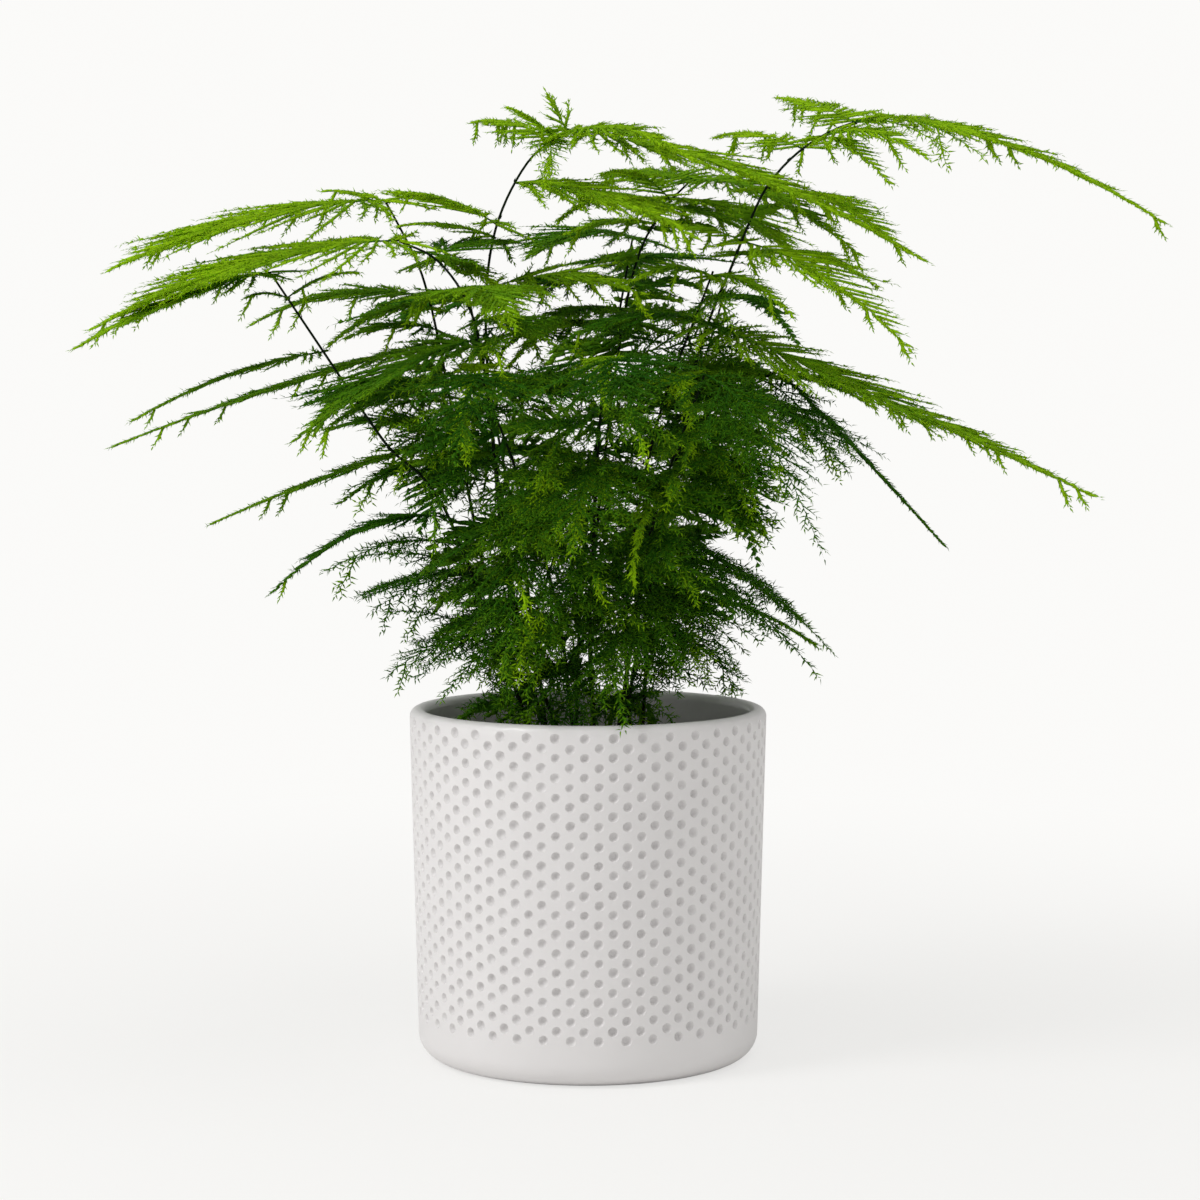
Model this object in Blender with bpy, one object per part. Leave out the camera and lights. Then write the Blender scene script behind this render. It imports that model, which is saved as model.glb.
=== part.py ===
"""Potted asparagus fern: a dimple-walled stoneware pot, its soil, wiry canes and flat feathery fronds.

The origin is the middle of the pot's flat base, +Z is up, and -Y is the front.
"""

import itertools
import math
from collections import namedtuple

import bmesh
import bpy
from mathutils import Vector
from mathutils.bvhtree import BVHTree

MM = 0.001

# Pot
RIM_DIAMETER = 140.0 * MM
POT_HEIGHT = 137.5 * MM
RIM_ROUND = 3.35 * MM
WALL_DRAFT = 3.1 * MM
FOOT_CORNER = 9.4 * MM
POT_FLOOR = 7.0 * MM
INNER_CORNER = 5.0 * MM
ROUND_STEPS = 60
SHARP_EDGE = 40
FIT_GAP = 0.3 * MM

# Soil
SOIL_TOP = 120.0 * MM
SOIL_EDGE_DIP = 1.5 * MM
SOIL_FLAT_SHARE = 0.6

# Canes, from the soil up: an arching wire-thin stem
CANE_FOOT_RADIUS = 0.75 * MM
CANE_TIP_RADIUS = 0.42 * MM
CANE_STATIONS = 16
CURVE_STEPS = 12
CANE_SEAT = 0.5 * MM

# Fronds: a thin midrib with pointed lobes on both sides
FROND_SEGMENTS = 10
BARE_SEGMENTS = 1
RIB_FOOT_HALF = 0.40 * MM
RIB_TIP_HALF = 0.15 * MM
LOBE_RISE_POWER = 0.5
LOBE_FALL_POWER = 0.8
LOBE_FULLNESS = 2.38
LOBE_SWEEP = 0.8
LOBE_DROOP = 0.28
LOBE_PAST_TIP = 1.02
FROND_LIFTS = (0, 3, -3, 6, -6, 9, -9, 12, -12, 15, -15)
FROND_TURNS = (0, 5, -5, 10, -10)
FROND_TRIMS = (1.0, 0.85, 0.7, 0.55, 0.4)

POT_GLAZE = (0.82, 0.82, 0.81, 1.0)
SOIL_BROWN = (0.045, 0.03, 0.02, 1.0)
CANE_GREEN = (0.02, 0.035, 0.015, 1.0)
YOUNG_GREEN = (0.22, 0.48, 0.03)
OLD_GREEN = (0.02, 0.16, 0.02)
OLD_HEIGHT = 150.0 * MM
YOUNG_HEIGHT = 320.0 * MM

# A cane's points are its axis in millimetres, from its foot on the soil to its tip.
Cane = namedtuple("Cane", "name points")
CANES = (
    Cane("right_tall", [(12, 2), (33, -8, 227), (43, -14, 277), (56, -20, 311), (69, -24, 340),
                        (89, -28, 358), (112, -32, 365)]),
    Cane("centre_tall", [(-14, -4), (-30, -8, 180), (-39, -14, 277), (-35, -18, 324),
                         (-19, -21, 353), (-8, -23, 360)]),
    Cane("left_upper", [(-22, 6), (-38, 2, 179), (-50, 0, 238), (-63, -4, 302), (-78, -8, 334)]),
    Cane("left_low", [(-19, -12), (-38, -20, 173), (-57, -30, 221), (-76, -36, 241),
                      (-101, -44, 279), (-118, -48, 305)]),
    Cane("left_front", [(-8, -17), (-28, -27, 181), (-40, -44, 277), (-53, -50, 307), (-70, -53, 317)]),
    Cane("right_mid", [(3, 8), (1, 14, 178), (13, 26, 283), (24, 32, 324), (41, 38, 345)]),
    Cane("back_mid", [(-5, 18), (-3, 34, 177), (3, 48, 237), (18, 68, 323)]),
    Cane("right_low", [(17, -9), (15, -12, 180), (26, -14, 246), (48, -19, 307)]),
    Cane("right_side", [(21, 0), (25, 6, 179), (33, 3, 230), (51, -1, 254), (73, -6, 269)]),
    Cane("front", [(3, -20), (1, -34, 174), (3, -52, 221), (6, -76, 273)]),
    Cane("front_right", [(11, -16), (18, -26, 174), (27, -44, 220), (43, -66, 267)]),
    Cane("front_left", [(-5, -9), (-11, -25, 174), (-23, -49, 221), (-39, -73, 267)]),
    Cane("back_left", [(-16, 15), (-24, 36, 177), (-36, 60, 237), (-50, 88, 299)]),
    Cane("back_right", [(11, 16), (21, 34, 177), (37, 58, 237), (56, 88, 299)]),
)

# A frond leaves its cane at a share of the cane's length. It runs out along its heading, in
# degrees from +X, over its reach, and its tip lies drop below its foot. arch is how far its
# middle rises over the straight line, and half_width is its longest lobe. All in millimetres.
Frond = namedtuple("Frond", "name cane at heading reach drop arch half_width")
FRONDS = (
    Frond("left_high", "left_upper", 1.00, -160, 109, 29, 10, 34),
    Frond("left_high_inner", "centre_tall", 0.82, -142, 48, -10, 5, 16),
    Frond("left_long_low", "left_low", 1.00, -151, 77, 29, 5, 17),
    Frond("left_long", "left_front", 1.00, -170, 114, 34, 12, 31),
    Frond("left_inward", "left_front", 0.94, 49, 44, -6, 3, 20),
    Frond("left_feather", "left_upper", 0.82, 162, 75, 11, 9, 17),
    Frond("left_thin_high", "left_low", 0.84, -167, 71, 26, 5, 8),
    Frond("left_thin_low", "left_upper", 0.74, -174, 126, 41, 3, 14),
    Frond("left_dark", "left_front", 0.77, -155, 73, 38, 8, 31),
    Frond("left_dark_back", "left_upper", 0.66, 129, 91, 14, 10, 34),
    Frond("left_sweep", "left_upper", 0.57, 174, 98, 35, 3, 15),
    Frond("left_droop", "left_low", 0.47, -158, 69, 28, 12, 14),
    Frond("left_fluff", "left_upper", 0.32, 142, 65, 13, 8, 29),
    Frond("left_fluff_low", "left_low", 0.22, -152, 46, 11, 8, 22),
    Frond("right_high", "right_tall", 1.00, -15, 106, 43, 10, 15),
    Frond("right_high_back", "right_tall", 0.96, 109, 80, -16, 3, 16),
    Frond("right_second", "right_tall", 0.88, 119, 65, -8, 5, 20),
    Frond("centre_high", "centre_tall", 1.00, -11, 138, 55, 13, 22),
    Frond("centre_high_left", "centre_tall", 0.97, 122, 61, -11, 5, 16),
    Frond("centre_second", "centre_tall", 0.89, -39, 87, 24, 7, 22),
    Frond("right_third", "right_tall", 0.81, 45, 77, 12, 8, 22),
    Frond("right_fourth", "right_tall", 0.73, -39, 78, 43, 9, 34),
    Frond("right_fourth_back", "right_tall", 0.71, 55, 110, 11, 9, 31),
    Frond("mid_top_left", "right_mid", 1.00, 122, 68, -5, 4, 25),
    Frond("mid_top_right", "right_mid", 0.96, 45, 77, 24, 8, 25),
    Frond("mid_left", "back_mid", 1.00, -147, 52, 10, 8, 31),
    Frond("mid_back", "back_mid", 0.96, 86, 100, 15, 10, 34),
    Frond("centre_bright", "left_front", 0.86, -70, 66, 16, 9, 29),
    Frond("right_long", "right_low", 0.90, -13, 154, 68, 4, 21),
    Frond("right_dark_long", "right_side", 1.00, 27, 78, 71, 6, 16),
    Frond("right_droop_high", "right_side", 0.89, 56, 100, 41, 10, 34),
    Frond("right_droop_front", "front_right", 1.00, -39, 54, 66, 16, 34),
    Frond("right_droop_low", "right_low", 0.46, 23, 80, 36, 12, 29),
    Frond("right_fluff_low", "front_right", 0.51, 4, 66, 47, 12, 22),
    Frond("right_fluff_inner", "right_side", 0.29, 46, 54, 31, 8, 22),
    Frond("front_left_tip", "front_left", 1.00, -98, 53, 33, 10, 29),
    Frond("front_right_tip", "front", 1.00, -79, 65, 28, 10, 34),
    Frond("front_fan", "front", 0.74, -99, 60, 31, 12, 36),
    Frond("front_droop_left", "front_left", 0.66, -104, 33, 65, 14, 31),
    Frond("front_droop", "front_right", 0.43, -110, 42, 45, 12, 29),
    Frond("back_high_left", "back_left", 1.00, 114, 84, 12, 9, 34),
    Frond("back_high_right", "back_right", 1.00, 63, 81, 21, 10, 34),
    Frond("back_low_left", "back_left", 0.65, 117, 84, 41, 14, 34),
    Frond("back_low_right", "back_right", 0.64, 63, 81, 54, 14, 34),
)

UP = Vector((0.0, 0.0, 1.0))


def clear_scene():
    for obj in list(bpy.data.objects):
        bpy.data.objects.remove(obj, do_unlink=True)


def plain_material(name, colour, roughness):
    material = bpy.data.materials.new(name)
    material.use_nodes = True
    shader = material.node_tree.nodes["Principled BSDF"]
    shader.inputs["Base Color"].default_value = colour
    shader.inputs["Roughness"].default_value = roughness
    shader.inputs["Metallic"].default_value = 0.0
    return material


def add_object(name, data, colour, roughness):
    obj = bpy.data.objects.new(name, data)
    bpy.context.scene.collection.objects.link(obj)
    data.materials.append(plain_material(name, colour, roughness))
    return obj


def arc(centre_r, centre_z, radius, start, end, steps):
    """Points (r, z) of an arc, with its angles in degrees from the +r direction."""
    turns = [math.radians(start + (end - start) * i / steps) for i in range(steps + 1)]
    return [(centre_r + radius * math.cos(a), centre_z + radius * math.sin(a)) for a in turns]


def inner_wall_radius(z):
    """The pot's inside wall follows its outside, one wall thickness in."""
    share = (z - FOOT_CORNER) / (POT_HEIGHT - RIM_ROUND - FOOT_CORNER)
    return RIM_DIAMETER / 2 - 2 * RIM_ROUND - WALL_DRAFT * (1.0 - share)


def turned_mesh(name, profile):
    """Spins a profile, which starts and ends on the Z axis, into a closed solid."""
    shape = bmesh.new()
    points = [shape.verts.new((r, 0.0, z)) for r, z in profile]
    edges = [shape.edges.new(pair) for pair in zip(points, points[1:])]
    bmesh.ops.spin(shape, geom=points + edges, cent=(0, 0, 0), axis=(0, 0, 1),
                   angle=math.tau, steps=ROUND_STEPS, use_duplicate=False)
    bmesh.ops.remove_doubles(shape, verts=shape.verts, dist=0.001 * MM)
    bmesh.ops.recalc_face_normals(shape, faces=shape.faces)
    mesh = bpy.data.meshes.new(name)
    shape.to_mesh(mesh)
    shape.free()
    mesh.shade_smooth()
    mesh.set_sharp_from_angle(angle=math.radians(SHARP_EDGE))
    return mesh


def make_pot():
    wall_foot = RIM_DIAMETER / 2 - WALL_DRAFT
    rim_middle = RIM_DIAMETER / 2 - RIM_ROUND
    rim_z = POT_HEIGHT - RIM_ROUND
    inner_foot_z = POT_FLOOR + INNER_CORNER
    profile = [(0.0, 0.0)]
    profile += arc(wall_foot - FOOT_CORNER, FOOT_CORNER, FOOT_CORNER, -90, 0, 5)
    profile += arc(rim_middle, rim_z, RIM_ROUND, 0, 180, 8)
    profile += arc(inner_wall_radius(inner_foot_z) - INNER_CORNER, inner_foot_z, INNER_CORNER, 0, -90, 3)
    profile += [(0.0, POT_FLOOR)]
    add_object("pot", turned_mesh("pot", profile), POT_GLAZE, 0.35)


def make_soil():
    edge_z = SOIL_TOP - SOIL_EDGE_DIP
    low_z = POT_FLOOR + FIT_GAP
    corner_z = low_z + INNER_CORNER
    profile = [(0.0, low_z)]
    profile += arc(inner_wall_radius(corner_z) - FIT_GAP - INNER_CORNER, corner_z, INNER_CORNER, -90, 0, 3)
    profile += [(inner_wall_radius(edge_z) - FIT_GAP, edge_z)]
    profile += [(SOIL_FLAT_SHARE * inner_wall_radius(edge_z), SOIL_TOP), (0.0, SOIL_TOP)]
    add_object("potting_soil", turned_mesh("potting_soil", profile), SOIL_BROWN, 0.95)


def cane_points(cane):
    """The cane's points in metres. Its foot has no height of its own, as it stands on the soil."""
    foot = Vector((cane.points[0][0] * MM, cane.points[0][1] * MM, SOIL_TOP + CANE_SEAT))
    return [foot] + [Vector(point) * MM for point in cane.points[1:]]


def smooth_line(points):
    """Samples of the smooth curve that passes through the points."""
    ends = [2 * points[0] - points[1]] + points + [2 * points[-1] - points[-2]]
    line = []
    for before, start, end, after in zip(ends, ends[1:], ends[2:], ends[3:]):
        for step in range(CURVE_STEPS):
            t = step / CURVE_STEPS
            line.append(0.5 * (2 * start + (end - before) * t
                               + (2 * before - 5 * start + 4 * end - after) * t ** 2
                               + (3 * start - before - 3 * end + after) * t ** 3))
    line.append(points[-1])
    return line


def point_along(line, share):
    """The point and the direction at a share of the line's length."""
    spans = [(b - a).length for a, b in zip(line, line[1:])]
    left = share * sum(spans)
    for start, end, span in zip(line, line[1:], spans):
        if left <= span:
            return start.lerp(end, left / span), (end - start).normalized()
        left -= span
    return line[-1], (line[-1] - line[-2]).normalized()


def cane_radius(share):
    return CANE_FOOT_RADIUS + (CANE_TIP_RADIUS - CANE_FOOT_RADIUS) * share


def stations(line, count):
    """Evenly spaced points of the line."""
    return [point_along(line, index / count)[0] for index in range(count + 1)]


def make_cane(cane, line):
    curve = bpy.data.curves.new("cane_" + cane.name, "CURVE")
    curve.dimensions = "3D"
    curve.bevel_depth = 1.0
    curve.bevel_resolution = 1
    curve.use_fill_caps = True
    spline = curve.splines.new("POLY")
    spline.points.add(CANE_STATIONS)
    for index, (station, place) in enumerate(zip(spline.points, line)):
        station.co = (*place, 1.0)
        station.radius = cane_radius(index / CANE_STATIONS)
    add_object("cane_" + cane.name, curve, CANE_GREEN, 0.5)


def level_direction(degrees):
    return Vector((math.cos(math.radians(degrees)), math.sin(math.radians(degrees)), 0.0))


def slope_at(frond, share):
    """How steeply the frond's midrib climbs at a share of its reach."""
    return (4 * frond.arch * (1 - 2 * share) - frond.drop) / frond.reach


def frond_foot(frond, line):
    """Where the frond's midrib starts, so that its square end seats off its cane's skin or end."""
    point, along = point_along(line, frond.at)
    out = level_direction(frond.heading)
    side = UP.cross(out)
    top = (UP - out * slope_at(frond, 0)).normalized()
    away = along
    skin = 0.0
    if frond.at < 1.0:
        away = (out - along * out.dot(along)).normalized()
        skin = cane_radius(frond.at)
    end_reach = RIB_FOOT_HALF * (abs(side.dot(away)) + abs(top.dot(away)))
    return point + away * (skin + FIT_GAP + end_reach)


def lobe_length(share):
    """A lobe's share of the longest one. A frond is broadest past a third of its reach."""
    return LOBE_FULLNESS * share ** LOBE_RISE_POWER * (1.0 - share) ** LOBE_FALL_POWER


def frond_mesh(frond, foot, trim):
    """A four-sided midrib whose side faces are each drawn out into a pointed lobe."""
    out = level_direction(frond.heading)
    side = UP.cross(out)
    shape = bmesh.new()
    rings = []
    for index in range(FROND_SEGMENTS + 1):
        t = index / FROND_SEGMENTS
        rise = 4 * frond.arch * t * (1 - t) - frond.drop * t
        centre = foot + out * (frond.reach * MM * t) + UP * (rise * MM)
        half = RIB_FOOT_HALF + (RIB_TIP_HALF - RIB_FOOT_HALF) * t
        top = (UP - out * slope_at(frond, t)).normalized() * half
        rings.append([shape.verts.new(centre + side * (s * half) + top * u)
                      for s, u in ((1, 1), (-1, 1), (-1, -1), (1, -1))])
    sides = []
    for back, front in zip(rings, rings[1:]):
        faces = [shape.faces.new((back[i], front[i], front[(i + 1) % 4], back[(i + 1) % 4]))
                 for i in range(4)]
        sides.append((faces[3], faces[1]))
    shape.faces.new(list(reversed(rings[-1])))
    shape.faces.new(rings[0])
    lobed = [face for pair in sides[BARE_SEGMENTS:] for face in pair]
    poked = bmesh.ops.poke(shape, faces=lobed)["verts"]
    for tip in poked:
        place = (tip.co - foot).dot(out)
        hand = 1.0 if (tip.co - foot).dot(side) > 0 else -1.0
        share = place / (frond.reach * MM)
        length = frond.half_width * MM * trim * lobe_length(share)
        ahead = min(LOBE_SWEEP * length, frond.reach * MM * LOBE_PAST_TIP - place)
        forward = out + UP * slope_at(frond, share)
        tip.co += side * (hand * length) + forward * ahead - UP * (LOBE_DROOP * length)
    bmesh.ops.recalc_face_normals(shape, faces=shape.faces)
    mesh = bpy.data.meshes.new("frond_" + frond.name)
    shape.to_mesh(mesh)
    shape.free()
    return mesh


def tree_of(obj):
    graph = bpy.context.evaluated_depsgraph_get()
    return BVHTree.FromObject(obj, graph)


def mesh_tree(mesh):
    return BVHTree.FromPolygons([v.co for v in mesh.vertices], [p.vertices for p in mesh.polygons])


def settled_frond(frond, line, placed):
    """The frond with its tip lifted, swung, and its lobes trimmed, until it clears what is there."""
    for trim, turn, lift in itertools.product(FROND_TRIMS, FROND_TURNS, FROND_LIFTS):
        moved = frond._replace(heading=frond.heading + turn, drop=frond.drop - lift)
        mesh = frond_mesh(moved, frond_foot(moved, line), trim)
        tree = mesh_tree(mesh)
        if not any(tree.overlap(other) for other in placed):
            placed.append(tree)
            return mesh
        bpy.data.meshes.remove(mesh)
    raise ValueError("frond_" + frond.name + " finds no clear place")


def frond_colour(mesh):
    middle = sum((v.co.z for v in mesh.vertices)) / len(mesh.vertices)
    share = min(max((middle - OLD_HEIGHT) / (YOUNG_HEIGHT - OLD_HEIGHT), 0.0), 1.0)
    return tuple(old + (young - old) * share for old, young in zip(OLD_GREEN, YOUNG_GREEN)) + (1.0,)


def make_canes():
    lines = {}
    for cane in CANES:
        lines[cane.name] = stations(smooth_line(cane_points(cane)), CANE_STATIONS)
        make_cane(cane, lines[cane.name])
    return lines


def make_fronds(lines):
    bpy.context.view_layer.update()
    placed = [tree_of(obj) for obj in bpy.context.scene.objects]
    for frond in FRONDS:
        mesh = settled_frond(frond, lines[frond.cane], placed)
        add_object("frond_" + frond.name, mesh, frond_colour(mesh), 0.6)


def main():
    clear_scene()
    make_pot()
    make_soil()
    make_fronds(make_canes())


main()
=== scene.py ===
"""Visual model of a potted asparagus fern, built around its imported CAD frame.

Lengths are in metres, and the pot stands on the floor at the origin with the viewer on -Y.
"""

import math
from collections import namedtuple

import bmesh
import bpy
import numpy as np
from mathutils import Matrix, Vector, noise


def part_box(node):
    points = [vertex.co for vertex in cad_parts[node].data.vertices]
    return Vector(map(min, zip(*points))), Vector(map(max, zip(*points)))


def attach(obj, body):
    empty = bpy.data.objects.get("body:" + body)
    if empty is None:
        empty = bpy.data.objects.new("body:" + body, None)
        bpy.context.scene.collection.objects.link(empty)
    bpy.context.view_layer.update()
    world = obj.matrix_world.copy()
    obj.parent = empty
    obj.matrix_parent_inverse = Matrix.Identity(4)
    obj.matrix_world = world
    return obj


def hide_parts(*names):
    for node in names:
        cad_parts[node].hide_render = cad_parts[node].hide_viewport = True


bl_info = {
    "name": "Potted asparagus fern",
    "version": (1, 0, 0),
    "blender": (4, 5, 0),
    "location": "3D View > Sidebar > Fern",
    "description": "Dimpled stoneware pot, potting mix, wiry canes and needle-leaved fronds",
    "category": "Object",
}

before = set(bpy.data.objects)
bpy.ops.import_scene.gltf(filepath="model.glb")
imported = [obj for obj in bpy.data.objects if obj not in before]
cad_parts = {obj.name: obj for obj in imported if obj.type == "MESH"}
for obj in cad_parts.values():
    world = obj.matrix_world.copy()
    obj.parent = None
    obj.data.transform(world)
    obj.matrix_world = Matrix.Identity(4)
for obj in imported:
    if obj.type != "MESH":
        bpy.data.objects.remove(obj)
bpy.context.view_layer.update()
POT_LOW, POT_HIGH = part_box("pot")
SOIL_LOW, SOIL_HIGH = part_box("potting_soil")

MM = 0.001
SEED = 20
UP = np.array([0.0, 0.0, 1.0])

# Pot, from the CAD model
RIM_RADIUS = POT_HIGH.x
POT_HEIGHT = POT_HIGH.z
RIM_ROUND = 3.35 * MM
WALL_DRAFT = 3.1 * MM
FOOT_CORNER = 9.4 * MM
POT_FLOOR = 7.0 * MM
INNER_CORNER = 5.0 * MM

# Dimples: staggered rows of round thumb prints
DIMPLES_ROUND = 40
DIMPLE_ROWS = 32
LOW_ROW = 18.5 * MM
HIGH_ROW = 132.9 * MM
LOW_ROW_TURN = math.radians(3.7)
DIMPLE_TOP_EDGE = 135.6 * MM
DIMPLE_RINGS = ((1.0, 0.0), (0.80, 0.45), (0.45, 0.88))
DIMPLE_SIDES = 12
# HOLLOW_SHADE is painted shade: at the bottom of each dimple the glaze colour is darkened to this share.
HOLLOW_SHADE = 0.84


class PotSettings(bpy.types.PropertyGroup):
    dimple_diameter: bpy.props.FloatProperty(
        name="Dimple width", description="Width of one dimple at the wall's face",
        default=3.9 * MM, unit="LENGTH", precision=4)
    dimple_depth: bpy.props.FloatProperty(
        name="Dimple depth", description="How deep a dimple's middle lies",
        default=1.55 * MM, unit="LENGTH", precision=4)
    glaze: bpy.props.FloatVectorProperty(
        name="Glaze", description="Colour of the glaze", subtype="COLOR", size=3,
        default=(0.81, 0.79, 0.79), min=0.0, max=1.0)
    gloss: bpy.props.FloatProperty(
        name="Roughness", description="Roughness of the satin glaze",
        default=0.42, min=0.0, max=1.0)


class SoilSettings(bpy.types.PropertyGroup):
    crumbs: bpy.props.IntProperty(
        name="Crumbs", description="Loose pieces of bark and peat on the mix", default=300)
    peat: bpy.props.FloatVectorProperty(
        name="Peat", description="Colour of the moist mix", subtype="COLOR", size=3,
        default=(0.022, 0.014, 0.009), min=0.0, max=1.0)
    bark: bpy.props.FloatVectorProperty(
        name="Bark", description="Colour of the dry bark pieces", subtype="COLOR", size=3,
        default=(0.13, 0.075, 0.04), min=0.0, max=1.0)


class CaneSettings(bpy.types.PropertyGroup):
    skin: bpy.props.FloatVectorProperty(
        name="Skin", description="Colour of a ripe cane", subtype="COLOR", size=3,
        default=(0.004, 0.009, 0.003), min=0.0, max=1.0)
    scale_length: bpy.props.FloatProperty(
        name="Scale leaf", description="Length of the dry scale at each joint of a cane",
        default=2.4 * MM, unit="LENGTH", precision=4)


class FoliageSettings(bpy.types.PropertyGroup):
    needle_length: bpy.props.FloatProperty(
        name="Needle length", description="Length of a full-grown needle",
        default=3.0 * MM, unit="LENGTH", precision=4)
    needle_width: bpy.props.FloatProperty(
        name="Needle width", description="Width of a needle at its broadest",
        default=0.70 * MM, unit="LENGTH", precision=5)
    # The young green is painted brighter than a leaf can be, standing in for light shining through the top
    # sprays.
    young: bpy.props.FloatVectorProperty(
        name="Young green", description="Colour of the newest sprays", subtype="COLOR",
        size=3, default=(0.46, 0.78, 0.008), min=0.0, max=1.0)
    old: bpy.props.FloatVectorProperty(
        name="Old green", description="Colour of the oldest sprays", subtype="COLOR",
        size=3, default=(0.022, 0.130, 0.004), min=0.0, max=1.0)


class StageSettings(bpy.types.PropertyGroup):
    key_power: bpy.props.FloatProperty(
        name="Side light", description="Power of the soft light high on the left", default=18.5,
        unit="POWER")
    low_power: bpy.props.FloatProperty(
        name="Low light", description="Power of the soft light low on the left", default=2.2,
        unit="POWER")
    top_power: bpy.props.FloatProperty(
        name="Top light", description="Power of the soft light overhead", default=5.5,
        unit="POWER")
    room_light: bpy.props.FloatProperty(
        name="Room light", description="Strength of the even light all round", default=0.58)


SETTINGS = {
    "fern_pot": PotSettings,
    "fern_soil": SoilSettings,
    "fern_canes": CaneSettings,
    "fern_foliage": FoliageSettings,
    "fern_stage": StageSettings,
}


# Small helpers

def unit(vectors):
    lengths = np.linalg.norm(vectors, axis=-1, keepdims=True)
    return vectors / np.maximum(lengths, 1e-12)


def mesh_of(name, points, faces):
    """A mesh of triangles from arrays."""
    mesh = bpy.data.meshes.new(name)
    mesh.vertices.add(len(points))
    mesh.vertices.foreach_set("co", np.asarray(points, np.float32).ravel())
    mesh.loops.add(faces.size)
    mesh.loops.foreach_set("vertex_index", faces.astype(np.int32).ravel())
    mesh.polygons.add(len(faces))
    mesh.polygons.foreach_set("loop_start", np.arange(0, faces.size, 3, dtype=np.int32))
    mesh.update(calc_edges=True)
    return mesh


def add_piece(name, mesh, material, nodes):
    """Puts a finished mesh in the scene in place of its CAD nodes."""
    piece = bpy.data.objects.new(name, mesh)
    bpy.context.scene.collection.objects.link(piece)
    mesh.materials.clear()
    mesh.materials.append(material)
    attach(piece, "root")
    if nodes:
        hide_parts(*nodes)
    return piece


def deselect_all():
    if bpy.context.mode != "OBJECT":
        bpy.ops.object.mode_set(mode="OBJECT")
    bpy.ops.object.select_all(action="DESELECT")


def own_random(*words):
    """A random source of its own for each piece, so that one can change without the rest."""
    return np.random.default_rng([SEED, *[ord(letter) for letter in "".join(words)]])


# Materials

class Wiring:
    """Adds nodes to a material or group and joins them."""

    def __init__(self, tree):
        self.tree = tree

    def add(self, kind, **values):
        made = self.tree.nodes.new(kind)
        for name, value in values.items():
            setattr(made, name, value)
        return made

    def join(self, source, target):
        self.tree.links.new(source, target)

    def noise(self, vector, scale, detail=3.0, roughness=0.5):
        made = self.add("ShaderNodeTexNoise")
        made.inputs["Scale"].default_value = scale
        made.inputs["Detail"].default_value = detail
        made.inputs["Roughness"].default_value = roughness
        self.join(vector, made.inputs["Vector"])
        return made.outputs["Fac"]

    def ramp(self, factor, stops):
        made = self.add("ShaderNodeValToRGB")
        elements = made.color_ramp.elements
        while len(elements) < len(stops):
            elements.new(1.0)
        for element, (place, colour) in zip(elements, stops):
            element.position = place
            element.color = (*colour, 1.0)
        self.join(factor, made.inputs["Fac"])
        return made.outputs["Color"]

    def spread(self, factor, low, high):
        made = self.add("ShaderNodeMapRange")
        made.inputs["To Min"].default_value = low
        made.inputs["To Max"].default_value = high
        self.join(factor, made.inputs["Value"])
        return made.outputs["Result"]

    def maths(self, operation, first, second):
        made = self.add("ShaderNodeMath", operation=operation)
        for socket, value in zip(made.inputs, (first, second)):
            if isinstance(value, float):
                socket.default_value = value
            else:
                self.join(value, socket)
        return made.outputs[0]

    def bump(self, height, strength, distance):
        made = self.add("ShaderNodeBump")
        made.inputs["Strength"].default_value = strength
        made.inputs["Distance"].default_value = distance
        self.join(height, made.inputs["Height"])
        return made.outputs["Normal"]


def new_material(name):
    material = bpy.data.materials.new(name)
    material.use_nodes = True
    wiring = Wiring(material.node_tree)
    shader = material.node_tree.nodes["Principled BSDF"]
    place = wiring.add("ShaderNodeTexCoord").outputs["Object"]
    return material, wiring, shader, place


def mottle_group():
    """Mottling: a colour that wanders a little lighter and darker over the surface."""
    found = bpy.data.node_groups.get("Mottling")
    if found:
        return found
    group = bpy.data.node_groups.new("Mottling", "ShaderNodeTree")
    group.interface.new_socket("Colour", in_out="INPUT", socket_type="NodeSocketColor")
    for name, value in (("Scale", 50.0), ("Amount", 0.1)):
        socket = group.interface.new_socket(name, in_out="INPUT", socket_type="NodeSocketFloat")
        socket.default_value = value
    group.interface.new_socket("Colour", in_out="OUTPUT", socket_type="NodeSocketColor")
    group.interface.new_socket("Mask", in_out="OUTPUT", socket_type="NodeSocketFloat")
    wiring = Wiring(group)
    entry = wiring.add("NodeGroupInput").outputs
    leave = wiring.add("NodeGroupOutput").inputs
    place = wiring.add("ShaderNodeTexCoord").outputs["Object"]
    wander = wiring.add("ShaderNodeTexNoise")
    wander.inputs["Detail"].default_value = 4.0
    wiring.join(place, wander.inputs["Vector"])
    wiring.join(entry["Scale"], wander.inputs["Scale"])
    centred = wiring.maths("SUBTRACT", wander.outputs["Fac"], 0.5)
    swing = wiring.maths("MULTIPLY", centred, entry["Amount"])
    level = wiring.maths("ADD", swing, 1.0)
    tint = wiring.add("ShaderNodeMix", data_type="RGBA", blend_type="MULTIPLY")
    tint.inputs["Factor"].default_value = 1.0
    wiring.join(entry["Colour"], tint.inputs["A"])
    wiring.join(level, tint.inputs["B"])
    wiring.join(tint.outputs["Result"], leave["Colour"])
    wiring.join(wander.outputs["Fac"], leave["Mask"])
    return group


def mottled(wiring, colour, scale, amount):
    """Places the mottling group. The colour is a socket or plain numbers."""
    made = wiring.add("ShaderNodeGroup")
    made.node_tree = mottle_group()
    made.inputs["Scale"].default_value = scale
    made.inputs["Amount"].default_value = amount
    if isinstance(colour, bpy.types.NodeSocket):
        wiring.join(colour, made.inputs["Colour"])
    else:
        made.inputs["Colour"].default_value = (*colour, 1.0)
    return made.outputs


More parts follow.
